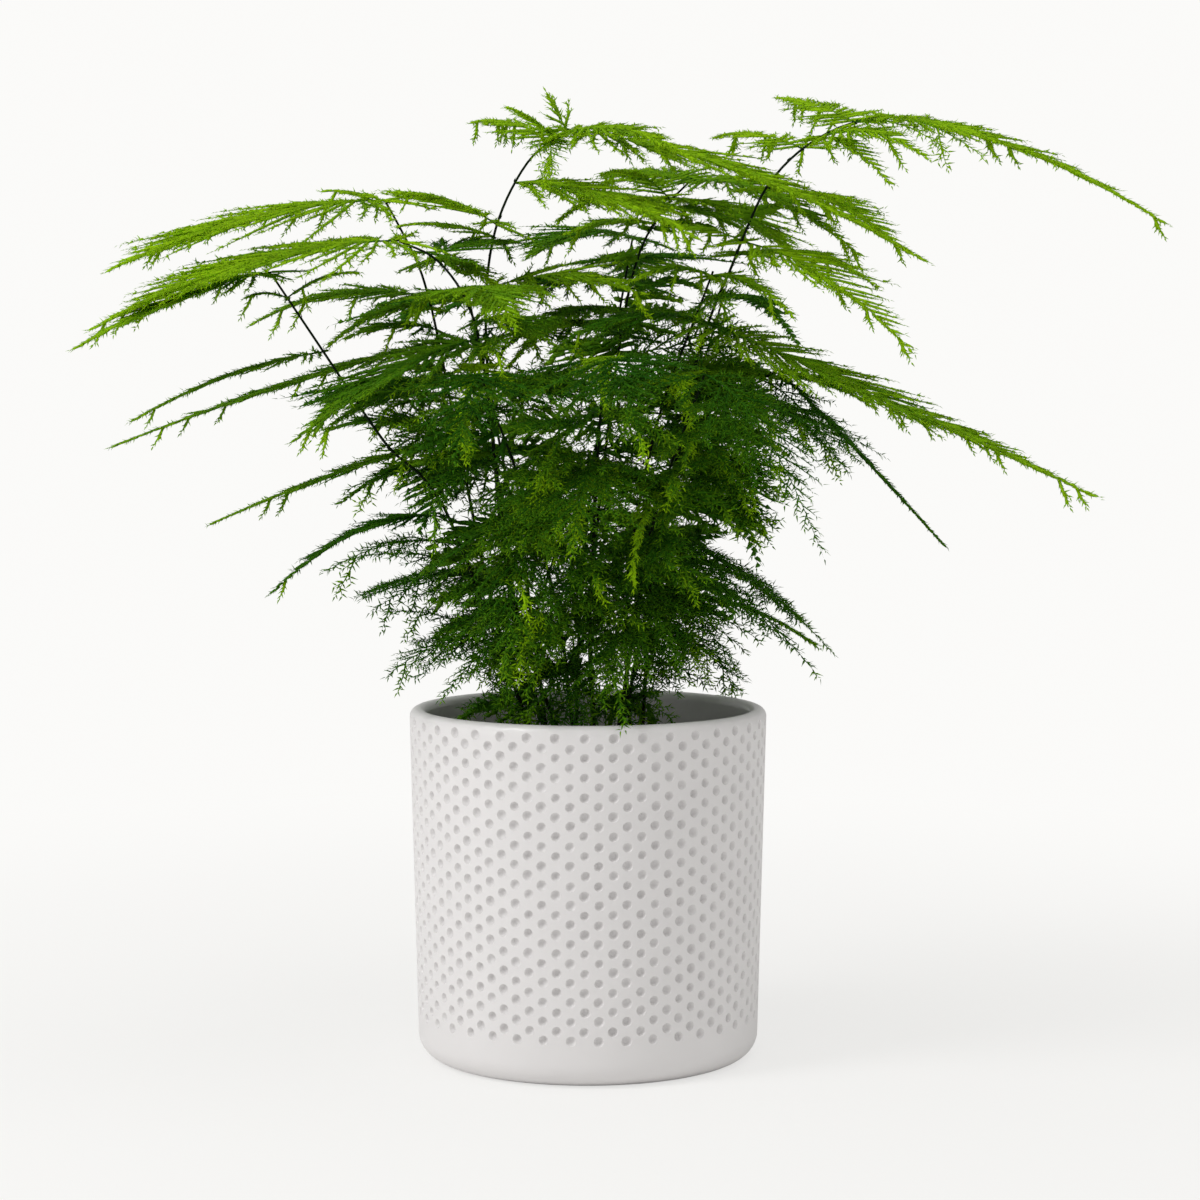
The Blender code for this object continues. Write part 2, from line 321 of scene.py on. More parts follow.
def glaze_material(settings):
    material, wiring, shader, place = new_material("satin_white_glaze")
    # Painted shade in the dimples: the glaze colour darkens with how deep a point lies, standing in for shade
    # in the hollows.
    hollow = wiring.add("ShaderNodeAttribute", attribute_name="hollow").outputs["Fac"]
    painted_hollow_shade = tuple(HOLLOW_SHADE * part for part in settings.glaze)
    colour = wiring.ramp(hollow, ((0.0, settings.glaze), (1.0, painted_hollow_shade)))
    made = mottled(wiring, colour, 35.0, 0.06)
    wiring.join(made["Colour"], shader.inputs["Base Color"])
    fine = wiring.noise(place, 420.0, 4.0)
    rough = wiring.spread(fine, settings.gloss - 0.07, settings.gloss + 0.07)
    wiring.join(rough, shader.inputs["Roughness"])
    shader.inputs["Coat Weight"].default_value = 0.25
    shader.inputs["Coat Roughness"].default_value = 0.22
    ripple = wiring.noise(place, 160.0, 2.0)
    wiring.join(wiring.bump(ripple, 0.10, 0.25 * MM), shader.inputs["Normal"])
    return material


def soil_material(settings):
    material, wiring, shader, place = new_material("moist_potting_mix")
    kind = wiring.add("ShaderNodeAttribute", attribute_name="tone").outputs["Fac"]
    pale = (0.62, 0.60, 0.55)
    mixed = wiring.ramp(kind, ((0.0, settings.peat), (0.55, settings.bark), (0.9, settings.bark),
                               (0.95, pale)))
    made = mottled(wiring, mixed, 900.0, 1.1)
    wiring.join(made["Colour"], shader.inputs["Base Color"])
    shader.inputs["Roughness"].default_value = 0.92
    shader.inputs["Specular IOR Level"].default_value = 0.25
    grit = wiring.noise(place, 1500.0, 5.0, 0.7)
    wiring.join(wiring.bump(grit, 0.9, 0.8 * MM), shader.inputs["Normal"])
    return material


def cane_material(settings):
    material, wiring, shader, place = new_material("ripe_cane_skin")
    young = tuple(2.0 * part for part in settings.skin)
    height = wiring.add("ShaderNodeSeparateXYZ")
    wiring.join(place, height.inputs["Vector"])
    share = wiring.maths("MULTIPLY", height.outputs["Z"], 2.6)
    colour = wiring.ramp(share, ((0.2, settings.skin), (0.95, young)))
    made = mottled(wiring, colour, 700.0, 0.9)
    wiring.join(made["Colour"], shader.inputs["Base Color"])
    rough = wiring.spread(made["Mask"], 0.60, 0.80)
    wiring.join(rough, shader.inputs["Roughness"])
    shader.inputs["Specular IOR Level"].default_value = 0.05
    grain = wiring.noise(place, 2600.0, 3.0)
    wiring.join(wiring.bump(grain, 0.4, 0.1 * MM), shader.inputs["Normal"])
    return material


def foliage_material(settings):
    """Needle green by how young a spray is and by painted light and shade,
    with some of the light coming through from behind.
    """
    material, wiring, shader, place = new_material("fern_needle_green")
    # The tone attribute holds how young each part is together with painted light and shade.
    tone_share = wiring.add("ShaderNodeAttribute", attribute_name="tone").outputs["Fac"]
    old, young = np.array(settings.old), np.array(settings.young)
    stem = (0.006, 0.010, 0.004)
    middle = tuple(old * 1.4 + young * 0.08)
    fresh = tuple(old * 1.2 + young * 0.38)
    colour = wiring.ramp(tone_share, ((0.0, stem), (0.10, tuple(old * 0.6)), (0.22, tuple(old)),
                               (0.5, middle), (0.75, fresh), (1.0, tuple(young))))
    # The strong mottling is partly painted light and shade: patches lighter and darker like lit and shaded
    # twiglets, besides tone that differs at random.
    made = mottled(wiring, colour, 160.0, 0.55)
    wiring.join(made["Colour"], shader.inputs["Base Color"])
    rough = wiring.spread(made["Mask"], 0.50, 0.66)
    wiring.join(rough, shader.inputs["Roughness"])
    shader.inputs["Specular IOR Level"].default_value = 0.08
    through = wiring.add("ShaderNodeBsdfTranslucent")
    wiring.join(made["Colour"], through.inputs["Color"])
    blend = wiring.add("ShaderNodeMixShader")
    blend.inputs["Fac"].default_value = 0.38
    wiring.join(shader.outputs["BSDF"], blend.inputs[1])
    wiring.join(through.outputs["BSDF"], blend.inputs[2])
    leave = material.node_tree.nodes["Material Output"]
    wiring.join(blend.outputs["Shader"], leave.inputs["Surface"])
    return material


# Pot

def wall_radius(z):
    """Radius of the pot's outside face at a height, over the wall and the rim's rounding."""
    z = np.asarray(z, float)
    share = (z - FOOT_CORNER) / (POT_HEIGHT - RIM_ROUND - FOOT_CORNER)
    straight = RIM_RADIUS - WALL_DRAFT * (1.0 - share)
    over = np.clip(z - (POT_HEIGHT - RIM_ROUND), 0.0, RIM_ROUND)
    rounded = RIM_RADIUS - RIM_ROUND + np.sqrt(RIM_ROUND ** 2 - over ** 2)
    return np.where(over > 0.0, rounded, straight)


def arc(centre_r, centre_z, radius, start, end, steps):
    turns = np.radians(np.linspace(start, end, steps + 1))
    return [(centre_r + radius * math.cos(a), centre_z + radius * math.sin(a)) for a in turns]


class Cell:
    """One cell of the staggered dimple pattern, as offsets in metres along the wall."""

    def __init__(self):
        self.pitch = math.tau * float(wall_radius(0.5 * POT_HEIGHT)) / DIMPLES_ROUND
        self.rise = (HIGH_ROW - LOW_ROW) / (DIMPLE_ROWS - 1)
        quarter = self.pitch ** 2 / 4
        self.wide = (quarter + self.rise ** 2) / self.pitch
        self.narrow = (quarter - self.rise ** 2) / self.pitch
        self.slant = 0.5 * (self.wide + self.narrow)

    def border(self):
        half = 0.5 * self.rise
        right = [(self.wide, 0.0), (self.slant, half), (self.narrow, self.rise)]
        left = [(-x, y) for x, y in reversed(right)]
        above = right + [(0.0, self.rise)] + left
        below = [(x, -y) for x, y in reversed(above[1:-1])]
        return np.array(above + below)

    def crest(self):
        """Offsets along the top edge of one period of the top row, from left to right."""
        half = 0.5 * self.rise
        rise = [(-self.wide, 0.0), (-self.slant, half), (-self.narrow, self.rise), (0.0, self.rise)]
        return rise + [(-x, y) for x, y in reversed(rise[:3])] + [(0.5 * self.pitch, 0.0)]


def on_wall(turns, offsets, z, depth):
    """Places points on the pot: turns are angles from the front, offsets lengths along the wall."""
    radius = wall_radius(z)
    middle = wall_radius(0.5 * POT_HEIGHT)
    angle = turns + offsets / middle - math.pi / 2
    radius = radius - depth
    return np.stack([radius * np.cos(angle), radius * np.sin(angle), z], axis=-1)


def dimple_field(settings, cell, rng):
    """Every dimple as rings of points joined by triangles, out to its cell's border."""
    row, place = np.meshgrid(np.arange(DIMPLE_ROWS), np.arange(DIMPLES_ROUND), indexing="ij")
    row, place = row.ravel(), place.ravel()
    turns = LOW_ROW_TURN + (place + 0.5 * (row % 2)) * math.tau / DIMPLES_ROUND
    centre_z = LOW_ROW + row * cell.rise
    count = len(row)
    radius = 0.5 * settings.dimple_diameter * rng.normal(1.0, 0.045, count)
    depth = settings.dimple_depth * rng.normal(1.0, 0.10, count)
    shift = rng.normal(0.0, 0.13 * MM, (count, 2))
    shift[row == DIMPLE_ROWS - 1, 1] = np.minimum(shift[row == DIMPLE_ROWS - 1, 1], 0.0)
    angles = np.arange(DIMPLE_SIDES) * math.tau / DIMPLE_SIDES
    layers = []
    border = cell.border()
    z = np.minimum(centre_z[:, None] + border[:, 1], DIMPLE_TOP_EDGE)
    layers.append(on_wall(turns[:, None], border[None, :, 0], z, 0.0))
    for share, sunk in DIMPLE_RINGS:
        across = shift[:, :1] + share * radius[:, None] * np.cos(angles)
        up = shift[:, 1:] + share * radius[:, None] * np.sin(angles)
        layers.append(on_wall(turns[:, None], across, centre_z[:, None] + up, sunk * depth[:, None]))
    middle = on_wall(turns, shift[:, 0], centre_z + shift[:, 1], depth)[:, None, :]
    points = np.concatenate(layers + [middle], axis=1)
    faces = []
    for layer in range(len(layers) - 1):
        for side in range(DIMPLE_SIDES):
            here = layer * DIMPLE_SIDES + side
            after = layer * DIMPLE_SIDES + (side + 1) % DIMPLE_SIDES
            faces += [(here, after, after + DIMPLE_SIDES), (here, after + DIMPLE_SIDES, here + DIMPLE_SIDES)]
    last = (len(layers) - 1) * DIMPLE_SIDES
    hub = last + DIMPLE_SIDES
    faces += [(last + s, last + (s + 1) % DIMPLE_SIDES, hub) for s in range(DIMPLE_SIDES)]
    start = np.arange(count)[:, None, None] * points.shape[1]
    return points.reshape(-1, 3), (np.array(faces)[None] + start).reshape(-1, 3)


def skirt(first_ring, profile, hub_z, outward):
    """Rings of a turned surface that carries on from a ring of points and closes on the axis."""
    count = len(first_ring)
    angle = np.arctan2(first_ring[:, 1], first_ring[:, 0])
    rings = [first_ring]
    for radius, z in profile:
        rings.append(np.stack([radius * np.cos(angle), radius * np.sin(angle), np.full(count, z)], axis=-1))
    points = np.concatenate(rings + [np.array([[0.0, 0.0, hub_z]])])
    here = np.arange(count)
    after = (here + 1) % count
    faces = []
    for layer in range(len(rings) - 1):
        low, high = layer * count, (layer + 1) * count
        faces.append(np.stack([low + here, low + after, high + after], axis=-1))
        faces.append(np.stack([low + here, high + after, high + here], axis=-1))
    last = (len(rings) - 1) * count
    faces.append(np.stack([last + here, last + after, np.full(count, len(points) - 1)], axis=-1))
    faces = np.concatenate(faces)
    return points, faces if outward else faces[:, ::-1]


def inner_radius(z):
    share = (z - FOOT_CORNER) / (POT_HEIGHT - RIM_ROUND - FOOT_CORNER)
    return RIM_RADIUS - 2 * RIM_ROUND - WALL_DRAFT * (1.0 - share)


def pot_parts(settings):
    cell = Cell()
    field = dimple_field(settings, cell, own_random("pot"))
    step = math.tau / DIMPLES_ROUND
    crest = np.array(cell.crest())
    turns = np.arange(DIMPLES_ROUND)[:, None] * step + LOW_ROW_TURN
    top_turns = turns + 0.5 * step * ((DIMPLE_ROWS - 1) % 2)
    top_z = np.minimum(np.broadcast_to(HIGH_ROW + crest[:, 1], (DIMPLES_ROUND, len(crest))), DIMPLE_TOP_EDGE)
    top = on_wall(top_turns, crest[None, :, 0], top_z, 0.0).reshape(-1, 3)
    low_z = np.broadcast_to(LOW_ROW - crest[:, 1], (DIMPLES_ROUND, len(crest)))
    low = on_wall(turns, crest[None, :, 0], low_z, 0.0).reshape(-1, 3)
    rim_middle = (RIM_RADIUS - RIM_ROUND, POT_HEIGHT - RIM_ROUND)
    start = math.degrees(math.asin((DIMPLE_TOP_EDGE - rim_middle[1]) / RIM_ROUND))
    rim = arc(*rim_middle, RIM_ROUND, start + 9, 180, 12)
    rim += [(inner_radius(z), z) for z in (0.8 * POT_HEIGHT, 0.5 * POT_HEIGHT, 0.25 * POT_HEIGHT)]
    corner_z = POT_FLOOR + INNER_CORNER
    rim += arc(inner_radius(corner_z) - INNER_CORNER, corner_z, INNER_CORNER, 0, -90, 5)
    rim += [(0.5 * RIM_RADIUS, POT_FLOOR)]
    foot_r = RIM_RADIUS - WALL_DRAFT - FOOT_CORNER
    foot = [(float(wall_radius(z)), z) for z in (13.0 * MM, 11.0 * MM)]
    foot += arc(foot_r, FOOT_CORNER, FOOT_CORNER, 0, -90, 12)
    foot += [(0.5 * foot_r, 0.0)]
    return [field, skirt(top, rim, POT_FLOOR, True), skirt(low, foot, 0.0, False)]


def joined(parts):
    """Several (points, faces) pairs as one."""
    starts = np.cumsum([0] + [len(points) for points, faces in parts[:-1]])
    points = np.concatenate([points for points, faces in parts])
    faces = np.concatenate([faces + start for (_, faces), start in zip(parts, starts)])
    return points, faces


def hollow_shares(count):
    """How deep each point of the dimple field lies, as a share of its dimple's depth."""
    rings = [np.full(DIMPLE_SIDES, sunk) for _, sunk in ((1.0, 0.0), *DIMPLE_RINGS)]
    return np.tile(np.concatenate([*rings, [1.0]]), count)


def make_pot(settings):
    points, faces = joined(pot_parts(settings))
    mesh = mesh_of("stoneware_pot", points, faces)
    # How deep each dimple point lies, which darkens the glaze there as painted shade.
    shares = np.zeros(len(points))
    dimples = hollow_shares(DIMPLE_ROWS * DIMPLES_ROUND)
    shares[:len(dimples)] = dimples
    hollow = mesh.attributes.new("hollow", "FLOAT", "POINT")
    hollow.data.foreach_set("value", shares.astype(np.float32))
    piece = add_piece("stoneware_pot", mesh, glaze_material(settings), ["pot"])
    deselect_all()
    piece.select_set(True)
    bpy.context.view_layer.objects.active = piece
    bpy.ops.object.mode_set(mode="EDIT")
    bpy.ops.mesh.select_all(action="SELECT")
    bpy.ops.mesh.remove_doubles(threshold=0.01 * MM)
    bpy.ops.mesh.normals_make_consistent(inside=False)
    bpy.ops.object.mode_set(mode="OBJECT")
    bpy.ops.object.shade_smooth()
    piece.data.set_sharp_from_angle(angle=math.radians(32))


# Soil

SOIL_RINGS = 13
SOIL_SIDES = 72
CRUMB_SINK = 0.25
PERLITE_SHARE = 0.05


def soil_height(x, y):
    """The mix heaps up a little round the canes and is uneven all over."""
    away = math.hypot(x, y) / SOIL_HIGH.x
    lumps = noise.noise(Vector((x, y, 0.3)) * 90.0) + 0.5 * noise.noise(Vector((x, y, 0.9)) * 230.0)
    return SOIL_HIGH.z - 1.2 * MM + 1.3 * MM * (1.0 - away ** 2) + 1.1 * MM * lumps


def soil_bed():
    """A drum of mix that fills the pot, its top drawn in ring by ring and roughened."""
    deselect_all()
    depth = SOIL_HIGH.z - SOIL_LOW.z
    bpy.ops.mesh.primitive_cylinder_add(
        vertices=SOIL_SIDES, radius=SOIL_HIGH.x, depth=depth, end_fill_type="NGON",
        location=(0.0, 0.0, SOIL_LOW.z + 0.5 * depth))
    bed = bpy.context.active_object
    bpy.ops.object.transform_apply(location=True, rotation=True, scale=True)
    foot = SOIL_LOW.x / (-SOIL_HIGH.x)
    for vertex in bed.data.vertices:
        if vertex.co.z < 0.5 * POT_HEIGHT:
            share = (inner_radius(INNER_CORNER + SOIL_LOW.z) - INNER_CORNER) / SOIL_HIGH.x
            vertex.co.x *= share * foot
            vertex.co.y *= share * foot
    for polygon in bed.data.polygons:
        polygon.select = polygon.center.z > SOIL_HIGH.z - 0.1 * MM
    bpy.ops.object.mode_set(mode="EDIT")
    for _ in range(SOIL_RINGS):
        bpy.ops.mesh.inset(thickness=SOIL_HIGH.x / (SOIL_RINGS + 1.0), use_even_offset=True)
    bpy.ops.mesh.poke()
    bpy.ops.object.mode_set(mode="OBJECT")
    for vertex in bed.data.vertices:
        if vertex.co.z > 0.5 * POT_HEIGHT:
            vertex.co.z = soil_height(vertex.co.x, vertex.co.y)
    return bed


def crumb_shapes(rng):
    """One faceted ball, which soil_crumbs copies, squashes and dents
    into loose crumbs of bark, peat and perlite.
    """
    deselect_all()
    bpy.ops.mesh.primitive_ico_sphere_add(subdivisions=2, radius=1.0)
    ball = bpy.context.active_object
    points = np.array([v.co[:] for v in ball.data.vertices])
    faces = np.array([p.vertices[:] for p in ball.data.polygons])
    bpy.data.objects.remove(ball, do_unlink=True)
    return points, faces


def soil_crumbs(settings, rng):
    ball, ball_faces = crumb_shapes(rng)
    parts, tones = [], []
    for index in range(settings.crumbs):
        away = (SOIL_HIGH.x - 3.0 * MM) * math.sqrt((index + 0.5) / settings.crumbs)
        turn = index * math.pi * (3.0 - math.sqrt(5.0)) + rng.normal(0.0, 0.2)
        x, y = away * math.cos(turn), away * math.sin(turn)
        perlite = rng.random() < PERLITE_SHARE
        size = rng.uniform(0.7, 1.1) * MM if perlite else rng.uniform(0.7, 2.6) * MM
        stretch = np.array([1.0, 0.9, 0.85] if perlite else [rng.uniform(0.9, 1.8), rng.uniform(0.6, 1.0), 0.5])
        dented = ball * rng.uniform(0.78, 1.12, (len(ball), 1)) * size * stretch
        spin = rng.uniform(0.0, math.tau)
        cos, sin = math.cos(spin), math.sin(spin)
        turned = dented @ np.array([[cos, sin, 0.0], [-sin, cos, 0.0], [0.0, 0.0, 1.0]])
        lift = soil_height(x, y) + size * stretch[2] * CRUMB_SINK
        parts.append((turned + np.array([x, y, lift]), ball_faces))
        tone = 1.0 if perlite else rng.uniform(0.0, 0.6) ** 1.6
        tones.append(np.full(len(ball), tone))
    return joined(parts), np.concatenate(tones)


def make_soil(settings):
    bed = soil_bed()
    bed_points = np.array([v.co[:] for v in bed.data.vertices])
    bed.data.calc_loop_triangles()
    bed_faces = np.array([t.vertices[:] for t in bed.data.loop_triangles])
    bpy.data.objects.remove(bed, do_unlink=True)
    crumbs, tones = soil_crumbs(settings, own_random("soil"))
    points, faces = joined([(bed_points, bed_faces), crumbs])
    mesh = mesh_of("potting_mix_bed", points, faces)
    tone = mesh.attributes.new("tone", "FLOAT", "POINT")
    tone.data.foreach_set("value", np.concatenate([np.zeros(len(bed_points)), tones]))
    add_piece("potting_mix_bed", mesh, soil_material(settings), ["potting_soil"])
    mesh.shade_smooth()


# Canes

CANE_RINGS_APART = 4.0 * MM
CANE_FINE = 4
CANE_SIDES = 3
CANE_ROOT_DEPTH = 3.0 * MM
CANE_JOINT = 15.0 * MM

Cane = namedtuple("Cane", "name points radii")


def node_points(name):
    """The different points of a CAD node's mesh."""
    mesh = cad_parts[name].data
    flat = np.zeros(3 * len(mesh.vertices), np.float32)
    mesh.vertices.foreach_get("co", flat)
    return np.unique(np.round(flat.reshape(-1, 3).astype(float), 6), axis=0)


def smooth_line(points, fine):
    """A smooth curve through the points, fine samples to each span."""
    ends = np.concatenate([[2 * points[0] - points[1]], points, [2 * points[-1] - points[-2]]])
    t = (np.arange(fine) / fine)[None, :, None]
    before, start, end, after = (ends[i:len(ends) - 3 + i, None, :] for i in range(4))
    line = 0.5 * (2 * start + (end - before) * t
                  + (2 * before - 5 * start + 4 * end - after) * t ** 2
                  + (3 * start - before - 3 * end + after) * t ** 3)
    return np.concatenate([line.reshape(-1, points.shape[1]), points[-1:]])


def read_cane(name):
    """A cane's axis and radii, from the rings of its CAD tube, foot first."""
    left = node_points("cane_" + name)
    left = left[np.argsort(left[:, 2])]
    rings = []
    while len(left):
        near = np.linalg.norm(left - left[0], axis=1) < CANE_RINGS_APART
        rings.append(left[near])
        left = left[~near]
    centres = [ring.mean(axis=0) for ring in rings]
    order = [0]
    while len(order) < len(centres):
        here = centres[order[-1]]
        gaps = [np.inf if i in order else np.linalg.norm(c - here) for i, c in enumerate(centres)]
        order.append(int(np.argmin(gaps)))
    radii = [np.linalg.norm(rings[i] - centres[i], axis=1).mean() for i in order]
    return Cane(name, np.array([centres[i] for i in order]), np.array(radii))


def cane_tube(cane):
    """A round tapered wire along the cane, from under the soil to its tip."""
    line = smooth_line(np.column_stack([cane.points, cane.radii]), CANE_FINE)
    root = line[0].copy()
    root[2] -= CANE_ROOT_DEPTH
    line = np.concatenate([[root], line])
    curve = bpy.data.curves.new("cane_wire", "CURVE")
    curve.dimensions = "3D"
    curve.bevel_depth = 1.0
    curve.bevel_resolution = CANE_SIDES - 1
    curve.use_fill_caps = True
    spline = curve.splines.new("POLY")
    spline.points.add(len(line) - 1)
    for station, (x, y, z, radius) in zip(spline.points, line):
        station.co = (x, y, z, 1.0)
        station.radius = radius
    wire = bpy.data.objects.new("cane_wire", curve)
    bpy.context.scene.collection.objects.link(wire)
    deselect_all()
    wire.select_set(True)
    bpy.context.view_layer.objects.active = wire
    bpy.ops.object.convert(target="MESH")
    mesh = bpy.context.active_object.data
    points = np.array([v.co[:] for v in mesh.vertices])
    mesh.calc_loop_triangles()
    faces = np.array([t.vertices[:] for t in mesh.loop_triangles])
    bpy.data.objects.remove(bpy.context.active_object, do_unlink=True)
    return points, faces


def cane_scales(cane, settings, rng):
    """Dry pointed scales that hug the cane at its joints."""
    line = smooth_line(cane.points, CANE_FINE)
    spans = np.linalg.norm(np.diff(line, axis=0), axis=1)
    along = np.concatenate([[0.0], np.cumsum(spans)])
    stops = np.arange(CANE_JOINT, along[-1] - 5 * MM, CANE_JOINT)
    places = np.stack([np.interp(stops, along, line[:, axis]) for axis in range(3)], axis=-1)
    ahead = np.stack([np.interp(stops + MM, along, line[:, axis]) for axis in range(3)], axis=-1)
    direction = unit(ahead - places)
    turn = rng.uniform(0.0, math.tau, len(stops))
    level = np.stack([np.cos(turn), np.sin(turn), np.zeros(len(stops))], axis=-1)
    out = unit(level - direction * (level * direction).sum(axis=1, keepdims=True))
    radius = np.interp(stops / along[-1], np.linspace(0, 1, len(cane.radii)), cane.radii)[:, None]
    start = places + out * radius * 0.5
    lean = unit(direction + 0.45 * out)
    length = np.full(len(stops), settings.scale_length)
    width = np.full(len(stops), 0.9 * MM)
    return needle_mesh(start, lean, out, length, width)


def make_canes(settings):
    material = cane_material(settings)
    for cane in CANES:
        tube = cane_tube(cane)
        scales = cane_scales(cane, settings, own_random("cane", cane.name))
        mesh = mesh_of("cane_" + cane.name + "_skin", *joined([tube, scales]))
        add_piece("cane_" + cane.name + "_skin", mesh, material, ["cane_" + cane.name])
        mesh.shade_smooth()
        mesh.set_sharp_from_angle(angle=math.radians(50))


# Foliage. A shoot is a curve: start + run * t + bend * t * t, with t from 0 at its foot to 1 at its tip.

Shoots = namedtuple("Shoots", "start run bend blade tone length")


def shoots_at(shoots, owner, t):
    t = t[:, None]
    return shoots.start[owner] + shoots.run[owner] * t + shoots.bend[owner] * t * t


def shoot_direction(shoots, owner, t):
    return unit(shoots.run[owner] + 2 * shoots.bend[owner] * t[:, None])


def buds(shoots, gap, first, last, rng):
    """Where side shoots leave: owner, share of its length and side, alternately left and right."""
    count = np.maximum(1, np.round(shoots.length * (last - first) / gap)).astype(int)
    owner = np.repeat(np.arange(len(count)), count)
    number = np.arange(len(owner)) - np.repeat(np.cumsum(count) - count, count)
    share = first + (last - first) * (number + rng.uniform(0.25, 0.75, len(owner))) / count[owner]
    flip = rng.integers(0, 2, len(count))[owner]
    hand = 1.0 - 2.0 * ((number + flip) % 2)
    return owner, share, hand


def aimed(shoots, owner, share, hand, lean, lift):
    """Directions that lean off their owner's line by an angle, and out of its blade by another."""
    ahead = shoot_direction(shoots, owner, share)
    blade = unit(shoots.blade[owner] - ahead * (shoots.blade[owner] * ahead).sum(axis=1, keepdims=True))
    side = np.cross(blade, ahead) * hand[:, None]
    flat = ahead * np.cos(lean)[:, None] + side * np.sin(lean)[:, None]
    aim = flat * np.cos(lift)[:, None] + blade * np.sin(lift)[:, None]
    return unit(aim), ahead, blade


NEEDLE_BROADEST = 0.24
NEEDLE_TONES = np.array([-0.04, 0.12, 0.04, 0.04])


def needle_mesh(start, aim, face, length, width):
    """Needles as closed four-sided slivers, broadest near the foot and pointed at the tip."""
    across = unit(np.cross(face, aim))
    over = np.cross(aim, across)
    middle = start + aim * (NEEDLE_BROADEST * length)[:, None] + over * (0.28 * width)[:, None]
    half = across * (0.5 * width)[:, None]
    points = np.stack([start, start + aim * length[:, None], middle + half, middle - half], axis=1)
    faces = np.array([(0, 3, 2), (1, 2, 3), (0, 2, 1), (0, 1, 3)])
    offsets = np.arange(len(start))[:, None, None] * 4
    return points.reshape(-1, 3), (faces[None] + offsets).reshape(-1, 3)


def twig_mesh(shoots, foot, tip, flatness, segments):
    """Shoots as three-sided twigs with the ridge up, tapered to a point."""
    count = len(shoots.start)
    owner = np.arange(count)
    rings = []
    turns = math.pi / 2 + np.arange(3) * math.tau / 3
    for step in range(segments):
        t = np.full(count, step / segments)
        centre = shoots_at(shoots, owner, t)
        ahead = shoot_direction(shoots, owner, t)
        side = unit(np.cross(shoots.blade, ahead))
        over = np.cross(ahead, side)
        radius = foot + (tip - foot) * step / segments
        high = radius * flatness
        for turn in turns:
            rings.append(centre + side * (radius * math.cos(turn)) + over * (high * math.sin(turn)))
    rings.append(shoots_at(shoots, owner, np.ones(count)))
    points = np.stack(rings, axis=1)
    faces = [(0, 2, 1)]
    for step in range(segments - 1):
        for side in range(3):
            a, b = 3 * step + side, 3 * step + (side + 1) % 3
            faces += [(a, b, b + 3), (a, b + 3, a + 3)]
    last = 3 * (segments - 1)
    faces += [(last + s, last + (s + 1) % 3, 3 * segments) for s in range(3)]
    offsets = owner[:, None, None] * points.shape[1]
    return points.reshape(-1, 3), (np.array(faces)[None] + offsets).reshape(-1, 3)


# How a spray grows. Lengths in millimetres, angles in degrees, shares from 0 to 1.
# Habit's depth is painted shade: how much darker the ribbons under the needles are set than their shoots.
Habit = namedtuple("Habit", "pinna_gap pinna_lean pinna_curl levelling droop sag hanging hang_size "
                            "twig_gap twig_most twig_share twig_lean needle_gap needle_lean "
                            "needle_lift needle_size plush depth foot_turn")
FLAT = Habit(1.45, 32, 0.18, 0.25, 2, 0.06, 0.05, 0.9, 4.0, 6.5, 0.36, 32, 0.84, 34, 20, 0.88, 0.74, 0.06, 1.0)
COMB = Habit(1.80, 34, 0.24, 0.50, 3, 0.06, 0.09, 1.0, 4.5, 6.5, 0.34, 32, 0.84, 36, 20, 0.90, 0.74, 0.06, 1.0)
SLIM = Habit(1.35, 26, 0.20, 0.20, 3, 0.04, 0.03, 0.8, 5.0, 4.0, 0.34, 30, 0.80, 34, 22, 0.86, 0.66, 0.05, 1.0)
AIRY = Habit(3.0, 50, 0.22, 0.20, 8, 0.14, 0.08, 1.2, 3.0, 9.0, 0.44, 44, 0.84, 50, 28, 1.15, 0.36, 0.12, 1.0)
WEEP = Habit(2.3, 46, 0.26, 0.20, 8, 0.14, 0.03, 0.8, 3.0, 6.0, 0.34, 44, 0.80, 50, 26, 1.12, 0.40, 0.13, 1.0)
FILL = Habit(2.6, 42, 0.24, 0.40, 4, 0.08, 0.09, 1.2, 3.6, 8.0, 0.40, 38, 0.86, 46, 26, 1.10, 0.56, 0.16, 1.0)
BULK = Habit(2.4, 42, 0.24, 0.40, 4, 0.08, 0.02, 1.0, 4.0, 8.0, 0.40, 36, 2.20, 44, 26, 1.45, 1.40, 0.08, 1.0)
TRIM = FLAT._replace(foot_turn=0.2)
